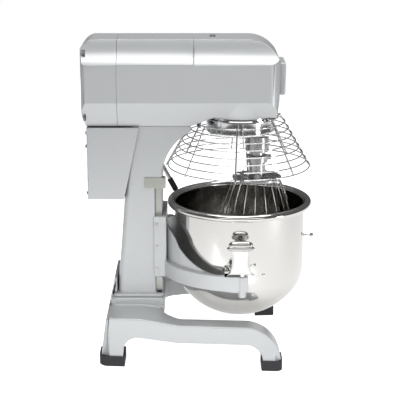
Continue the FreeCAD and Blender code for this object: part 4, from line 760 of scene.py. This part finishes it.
@dataclass
class Handle:
    """One bowl handle: a domed grip with a rolled lip, a flared neck and a foot on the arm.

    Attributes:
        side: Name of the side.
        sign: +1 or -1 along Y.
        middle_x: Middle of the grip and the neck along X.
        rolls: Grip and lip, each with centre y, centre z, radius and half length.
        neck_top_z: Top of the neck.
        neck_drop: Height of the neck.
        neck_waist: Half width of the neck where it is narrowest.
        neck_waist_at: Share of the drop where that is.
        neck_bulge: How much the neck widens away from there.
        neck_flare: How much more it widens at its foot.
        neck_inside: Inner face of the neck at its foot.
        neck_outside: Outer face of the neck at its foot.
        neck_lean: How far the neck leans out at its top.
        bead_y: Centre of the beads on the neck's edges, at its foot.
        foot_front_x: Front end of the foot.
        foot_rear_x: Rear end of the foot.
        foot_outside: Outer face of the foot.
        foot_levels: Underside and top of the foot.
        heel_levels: Underside and top of its lower step.
        heel_x: Front end of the foot's lower step.
        seat_radius: Inner face of the foot, round the bowl's wall.
        rivet: Profile of a rivet, as radius and level.
        rivets_x: Places of the rivets.
        rivets_y: Distance of the rivets from the bowl's axis.
        rods_x: Places of the rods across the foot.
        rod_start_y: Inner end of a rod.
        rod_length: Length of a rod.
        rod_z: Level of a rod's ends.
        rod_crown: How far a rod rises in its middle.
        rod_radius: Radius of a rod.
    """

    side: str
    sign: float
    middle_x: float = -2.0
    rolls: tuple = ((201.4, 311.6, 9.0, 29.0), (204.2, 303.4, 6.6, 33.0))
    neck_top_z: float = 304.0
    neck_drop: float = 68.0
    neck_waist: float = 18.6
    neck_waist_at: float = 0.45
    neck_bulge: float = 6.0
    neck_flare: float = 9.0
    neck_inside: float = 194.6
    neck_outside: float = 198.8
    neck_lean: float = 6.4
    bead_y: float = 199.4
    foot_front_x: float = 16.0
    foot_rear_x: float = -40.0
    foot_outside: float = 198.5
    foot_levels: tuple = (239.4, 246.0)
    heel_levels: tuple = (231.6, 240.0)
    heel_x: float = -8.0
    seat_radius: float = 161.6
    rivet: tuple = ((0.2, 252.5), (4.4, 252.5), (4.4, 245.5), (0.2, 245.5))
    rivets_x: tuple = (-33.0, -12.0, 9.0)
    rivets_y: float = 188.0
    rods_x: tuple = (-34.0, -24.0)
    rod_start_y: float = 180.0
    rod_length: float = 17.0
    rod_z: float = 250.5
    rod_crown: float = 1.5
    rod_radius: float = 2.2

    def lean_at(self, z: np.ndarray) -> np.ndarray:
        """How far the neck leans out at a level, from nothing at its foot."""
        return self.neck_lean * (z - (self.neck_top_z - self.neck_drop)) / self.neck_drop

    def grip(self) -> list:
        """The grip and its lip: bars whose radius falls off to the ends as a high power."""
        share = np.linspace(-1.0, 1.0, 33)
        bars = []
        for centre_y, centre_z, radius, half in self.rolls:
            size = radius * (1.0 - np.abs(share) ** 3.2) ** 0.5 + 0.3
            path = np.stack([self.middle_x + half * share, np.full(33, centre_y),
                             np.full(33, centre_z)], 1)
            bars.append(tube(path, size, (0.0, 0.0, 1.0), 24, ball_ends=False))
        return bars

    def neck(self) -> list:
        """The flared neck plate, leaning out, and the bead down each of its edges.

        The half width is smallest a little above the middle and flares at the foot by a high
        power of the drop.
        """
        drop = np.linspace(0.0, 1.0, 25)
        width = (self.neck_waist + self.neck_bulge * np.abs(drop - self.neck_waist_at) ** 1.6
                 + self.neck_flare * drop ** 8)
        height = self.neck_top_z - self.neck_drop * drop
        right = np.stack([self.middle_x + width, height], 1)
        left = np.stack([self.middle_x - width, height], 1)[::-1]
        plate = slab(np.vstack([right, left]), self.neck_inside, self.neck_outside, Plane.XZ, 1.6)
        plate[..., 1] += self.lean_at(plate[..., 2])
        parts = [plate]
        for edge in (-1.0, 1.0):
            bead = np.stack([self.middle_x + edge * (width + 0.4),
                             self.bead_y + self.lean_at(height), height], 1)
            parts.append(tube(bead, 1.8, (0.0, 1.0, 0.0), 10))
        return parts

    def foot(self) -> list:
        """The stepped foot on the yoke's arm, hollowed to the bowl, with rivets and rods."""
        turn = np.linspace(math.acos(self.foot_front_x / self.seat_radius),
                           math.acos(self.foot_rear_x / self.seat_radius), 14)
        inner = np.stack([self.seat_radius * np.cos(turn), self.seat_radius * np.sin(turn)], 1)
        outline = np.vstack([inner, [(self.foot_rear_x, self.foot_outside),
                                     (self.foot_front_x, self.foot_outside)]])
        heel = outline.copy()
        heel[:, 0] = np.clip(heel[:, 0], None, self.heel_x)
        parts = [slab(outline, *self.foot_levels, Plane.XY, 1.4),
                 slab(heel, *self.heel_levels, Plane.XY, 1.2)]
        parts.extend(lathe(self.rivet, 20, x, self.rivets_y) for x in self.rivets_x)
        for x in self.rods_x:
            bend = np.sin(np.linspace(0, math.pi, 9))
            path = np.stack([np.full(9, x), self.rod_start_y + np.linspace(0.0, self.rod_length, 9),
                             self.rod_z + self.rod_crown * bend], 1)
            parts.append(tube(path, self.rod_radius, (1.0, 0.0, 0.0), 10))
        return parts

    def build(self) -> None:
        """Cast the handle."""
        mould = Mould(f"handle_{self.side}")
        for part in self.grip() + self.neck() + self.foot():
            mould.add(mirrored(part, self.sign))
        mould.cast(HANDLE.material(), Body.CARRIAGE, (f"bowl_handle_{self.side}",),
                   "stainless_steel", 40.0)


@dataclass
class Whisk:
    """The balloon whisk: crossing wire loops under a disc with crimped ends.

    Attributes:
        loops: Number of loops.
        radius: Radius of the loops at their widest.
        top_radius: Radius where they meet the disc.
        top_z: Level where they meet the disc.
        widest_z: Level where they are widest.
        depth: Height of the first loop's round end.
        wire: Radius of the wire.
        clearance: Gap between loops where they cross.
        first_angle: Degrees of the first loop.
        offset: Distance of the tool's axis from the planetary axis.
        ferrule: Profile of a crimped end, as radius and level.
    """

    loops: int = 9
    radius: float = 92.0
    top_radius: float = 56.0
    top_z: float = 423.0
    widest_z: float = 262.0
    depth: float = 88.0
    wire: float = 1.3
    clearance: float = 0.3
    first_angle: float = 5.0
    offset: float = 42.875
    ferrule: tuple = ((0.2, 432.5), (2.4, 432.0), (3.0, 430.5), (3.0, 428.6), (0.2, 428.6))

    def heading(self, index: int) -> float:
        """Degrees of a loop about the tool's axis."""
        return 180.0 * index / self.loops + self.first_angle

    def loop(self, index: int) -> np.ndarray:
        """Centre line of one loop, about the tool's axis.

        A long belly arc runs from the disc to the widest level and a quarter ellipse under it
        to a short flat; each loop passes a wire's width above the last.

        Args:
            index: Number of the loop.

        Returns:
            Array (n, 3).
        """
        drop = self.top_z - self.widest_z
        widen = self.radius - self.top_radius
        belly = (widen ** 2 + drop ** 2) / (2.0 * widen)
        turn = np.linspace(math.asin(drop / belly), 0.0, 22)
        depth = self.depth - index * (2.0 * self.wire + self.clearance)
        flat = self.radius - depth
        under = np.linspace(0.0, math.pi / 2, 26)[1:]
        half = np.vstack([
            np.stack([self.radius - belly * (1.0 - np.cos(turn)),
                      self.widest_z + belly * np.sin(turn)], 1),
            np.stack([flat + depth * np.cos(under), self.widest_z - depth * np.sin(under)], 1)])
        whole = resampled(np.vstack([half, half[::-1] * np.array([-1.0, 1.0])]), 96)
        path = np.stack([whole[:, 0], np.zeros(len(whole)), whole[:, 1]], 1)
        return turned_about(path, self.heading(index))

    def build(self) -> None:
        """Cast the wires and the crimped ferrules where they meet the disc."""
        wires = Mould("whisk_loops")
        shift = np.array([self.offset, 0.0, 0.0])
        for index in range(self.loops):
            angle = math.radians(self.heading(index))
            normal = (-math.sin(angle), math.cos(angle), 0.0)
            wires.add(tube(self.loop(index), self.wire, normal, 10) + shift)
        wires.cast(STEEL.material(), Body.TOOL, ("whisk_wires",), "stainless_steel", 60.0)
        ends = Mould("wire_ferrules")
        for index in range(2 * self.loops):
            angle = math.radians(self.heading(index))
            ends.add(lathe(self.ferrule, 12, self.offset + self.top_radius * math.cos(angle),
                           self.top_radius * math.sin(angle)))
        ends.cast(TURNED.material(), Body.TOOL, (), "stainless_steel", 40.0)


@dataclass
class Cage:
    """One half of the wire guard: stacked rings welded to sloping ribs.

    Attributes:
        name: Name of the piece.
        node: CAD node that it stands for.
        body: Body that it rides on.
        start: Degrees where its rings start.
        inset: How far it lies inside the outer half.
        rib_side: +1 with the ribs outside the rings, -1 with them inside.
        ribs: Degrees of the ribs.
        climb: Degrees of the ribs that go one step higher and carry a shoe.
        sweep: Degrees that its rings span.
        rings: Number of rings.
        radius: Radius of the outer half's lowest ring.
        step_in: Fall in radius from ring to ring.
        step_up: Rise from ring to ring.
        low_z: Level of the lowest ring.
        ring_wire: Radius of the rings' wire.
        rib_wire: Radius of the ribs' wire.
        rib_shift: Distance between the centres of rings and ribs.
        shoe_span: Inner and outer radius of a shoe.
        shoe_half: Half width of a shoe.
        shoe_levels: Underside and top of a shoe.
        hangers: Degrees of the fixed half's hanger plates.
        hanger_half: Half width of a hanger plate.
        hanger_drop: How far a hanger plate reaches under the top ring.
        hanger_rise: How far it reaches over that ring.
    """

    name: str
    node: str
    body: Body
    start: float
    inset: float
    rib_side: float
    ribs: tuple
    climb: tuple = ()
    sweep: float = 176.0
    rings: int = 8
    radius: float = 177.3
    step_in: float = 8.9
    step_up: float = 15.6
    low_z: float = 460.0
    ring_wire: float = 1.6
    rib_wire: float = 1.9
    rib_shift: float = 3.2
    shoe_span: tuple = (90.0, 100.0)
    shoe_half: float = 6.0
    shoe_levels: tuple = (582.9, 586.6)
    hangers: tuple = (150.0, 210.0)
    hanger_half: float = 9.0
    hanger_drop: float = 6.0
    hanger_rise: float = 7.9

    def ring_path(self, radius: float, z: float) -> np.ndarray:
        """An arc of one ring."""
        turn = np.radians(np.linspace(self.start, self.start + self.sweep, 73))
        return np.stack([radius * np.cos(turn), radius * np.sin(turn), np.full(73, z)], 1)

    def rib_path(self, degrees: float, steps: float) -> np.ndarray:
        """A rib from under the lowest ring to a number of ring steps above it."""
        share = np.linspace(-0.12, steps, 12)
        radius = self.radius - self.inset + self.rib_side * self.rib_shift - self.step_in * share
        angle = math.radians(degrees)
        return np.stack([radius * math.cos(angle), radius * math.sin(angle),
                         self.low_z + self.step_up * share], 1)

    def shoes(self) -> list:
        """Plates on the climbing ribs, which run on the track."""
        inside, outside = self.shoe_span
        half = self.shoe_half
        outline = rounded([(inside, -half), (outside, -half), (outside, half), (inside, half)], 2.0)
        plate = slab(outline, *self.shoe_levels, Plane.XY, 0.8)
        return [turned_about(plate, degrees) for degrees in self.climb]

    def hanger_plates(self) -> list:
        """Plates from the top ring up to the head."""
        inside = self.radius - (self.rings - 1) * self.step_in - 1
        outside = self.radius - (self.rings - 1) * self.step_in + 2
        top_z = self.low_z + (self.rings - 1) * self.step_up
        half = self.hanger_half
        outline = rounded([(inside, -half), (outside, -half), (outside, half), (inside, half)], 0.8)
        plate = slab(outline, top_z - self.hanger_drop, top_z + self.hanger_rise, Plane.XY, 0.6)
        return [turned_about(plate, degrees) for degrees in self.hangers]

    def build(self) -> None:
        """Cast the rings, the ribs and the plates that carry the half."""
        mould = Mould(self.name)
        for index in range(self.rings):
            path = self.ring_path(self.radius - self.inset - index * self.step_in,
                                  self.low_z + index * self.step_up)
            mould.add(tube(path, self.ring_wire, (0.0, 0.0, 1.0), 10))
        for degrees in self.ribs:
            reach = self.rings - 1 + (1.0 if degrees in self.climb else 0.1)
            angle = math.radians(degrees)
            mould.add(tube(self.rib_path(degrees, reach), self.rib_wire,
                           (-math.sin(angle), math.cos(angle), 0.0), 10))
        for plate in self.shoes() if self.climb else self.hanger_plates():
            mould.add(plate)
        mould.cast(CHROME.material(), self.body, (self.node,), "stainless_steel", 60.0)


@dataclass
class Planetary:
    """The chrome drip collar with a turned lip at its top and at its foot.

    Attributes:
        radius: Radius of the lips.
        waist: Radius between them.
        bore: Radius of the inside.
        low_z: Foot.
        top_z: Top.
    """

    radius: float = 83.8
    waist: float = 82.9
    bore: float = 81.1
    low_z: float = 546.0
    top_z: float = 586.0

    def build(self) -> None:
        """Cast the collar."""
        low, top = self.low_z, self.top_z
        profile = rounded([
            (self.bore, low + 0.6), (82.4, low), (self.radius, low), (self.radius, low + 4.0),
            (self.waist, low + 5.4), (self.waist, top - 3.0), (self.radius, top - 2.0),
            (self.radius, top), (self.bore, top)], 0.5, 3)
        Mould("collar_turning").add(lathe(profile, 160), wrap_rows=True, caps=False).cast(
            CHROME.material(), Body.PLANETARY, ("drip_collar",), "bright_chrome", 40.0)


def dress(nodes: dict) -> None:
    """Give every CAD node the finish of its material.

    Args:
        nodes: CAD nodes by name.
    """
    for finish, names in DRESSES.items():
        for name in names:
            mesh = nodes[name].data
            mesh.materials.clear()
            mesh.materials.append(finish.material())
            mesh.polygons.foreach_set("material_index", np.zeros(len(mesh.polygons), np.int32))
    left = sorted(set(nodes) - {name for names in DRESSES.values() for name in names})
    if left:
        log.warning("not dressed: %s", left)


def corners(box: tuple) -> list:
    """The two corners of a box as plain numbers."""
    return [list(map(float, corner)) for corner in box]


def main() -> None:
    """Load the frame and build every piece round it."""
    logging.basicConfig(level=logging.INFO, format="%(name)s: %(message)s")
    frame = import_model()
    Studio().build()
    dress(frame["nodes"])
    FRAME_OBJECTS.update({name: item.name for name, item in frame["nodes"].items()})
    bodies = frame["record"]["behaviour"]["bodies"]
    owners = {node: body for body, names in bodies.items() for node in names}
    Castings(owners).build()
    Planetary().build()
    Bowl().build()
    Whisk().build()
    Cage("rear_cage", "rear_guard", Body.FRAME, 92.0, 0.0, 1.0,
         (95.0, 137.5, 180.0, 222.5, 265.0)).build()
    Cage("front_cage", "front_guard", Body.GUARD, -88.0, 5.0, -1.0,
         (-85.0, -42.5, 0.0, 42.5, 85.0), (-42.5, 0.0, 42.5)).build()


if __name__ == "__main__":
    main()
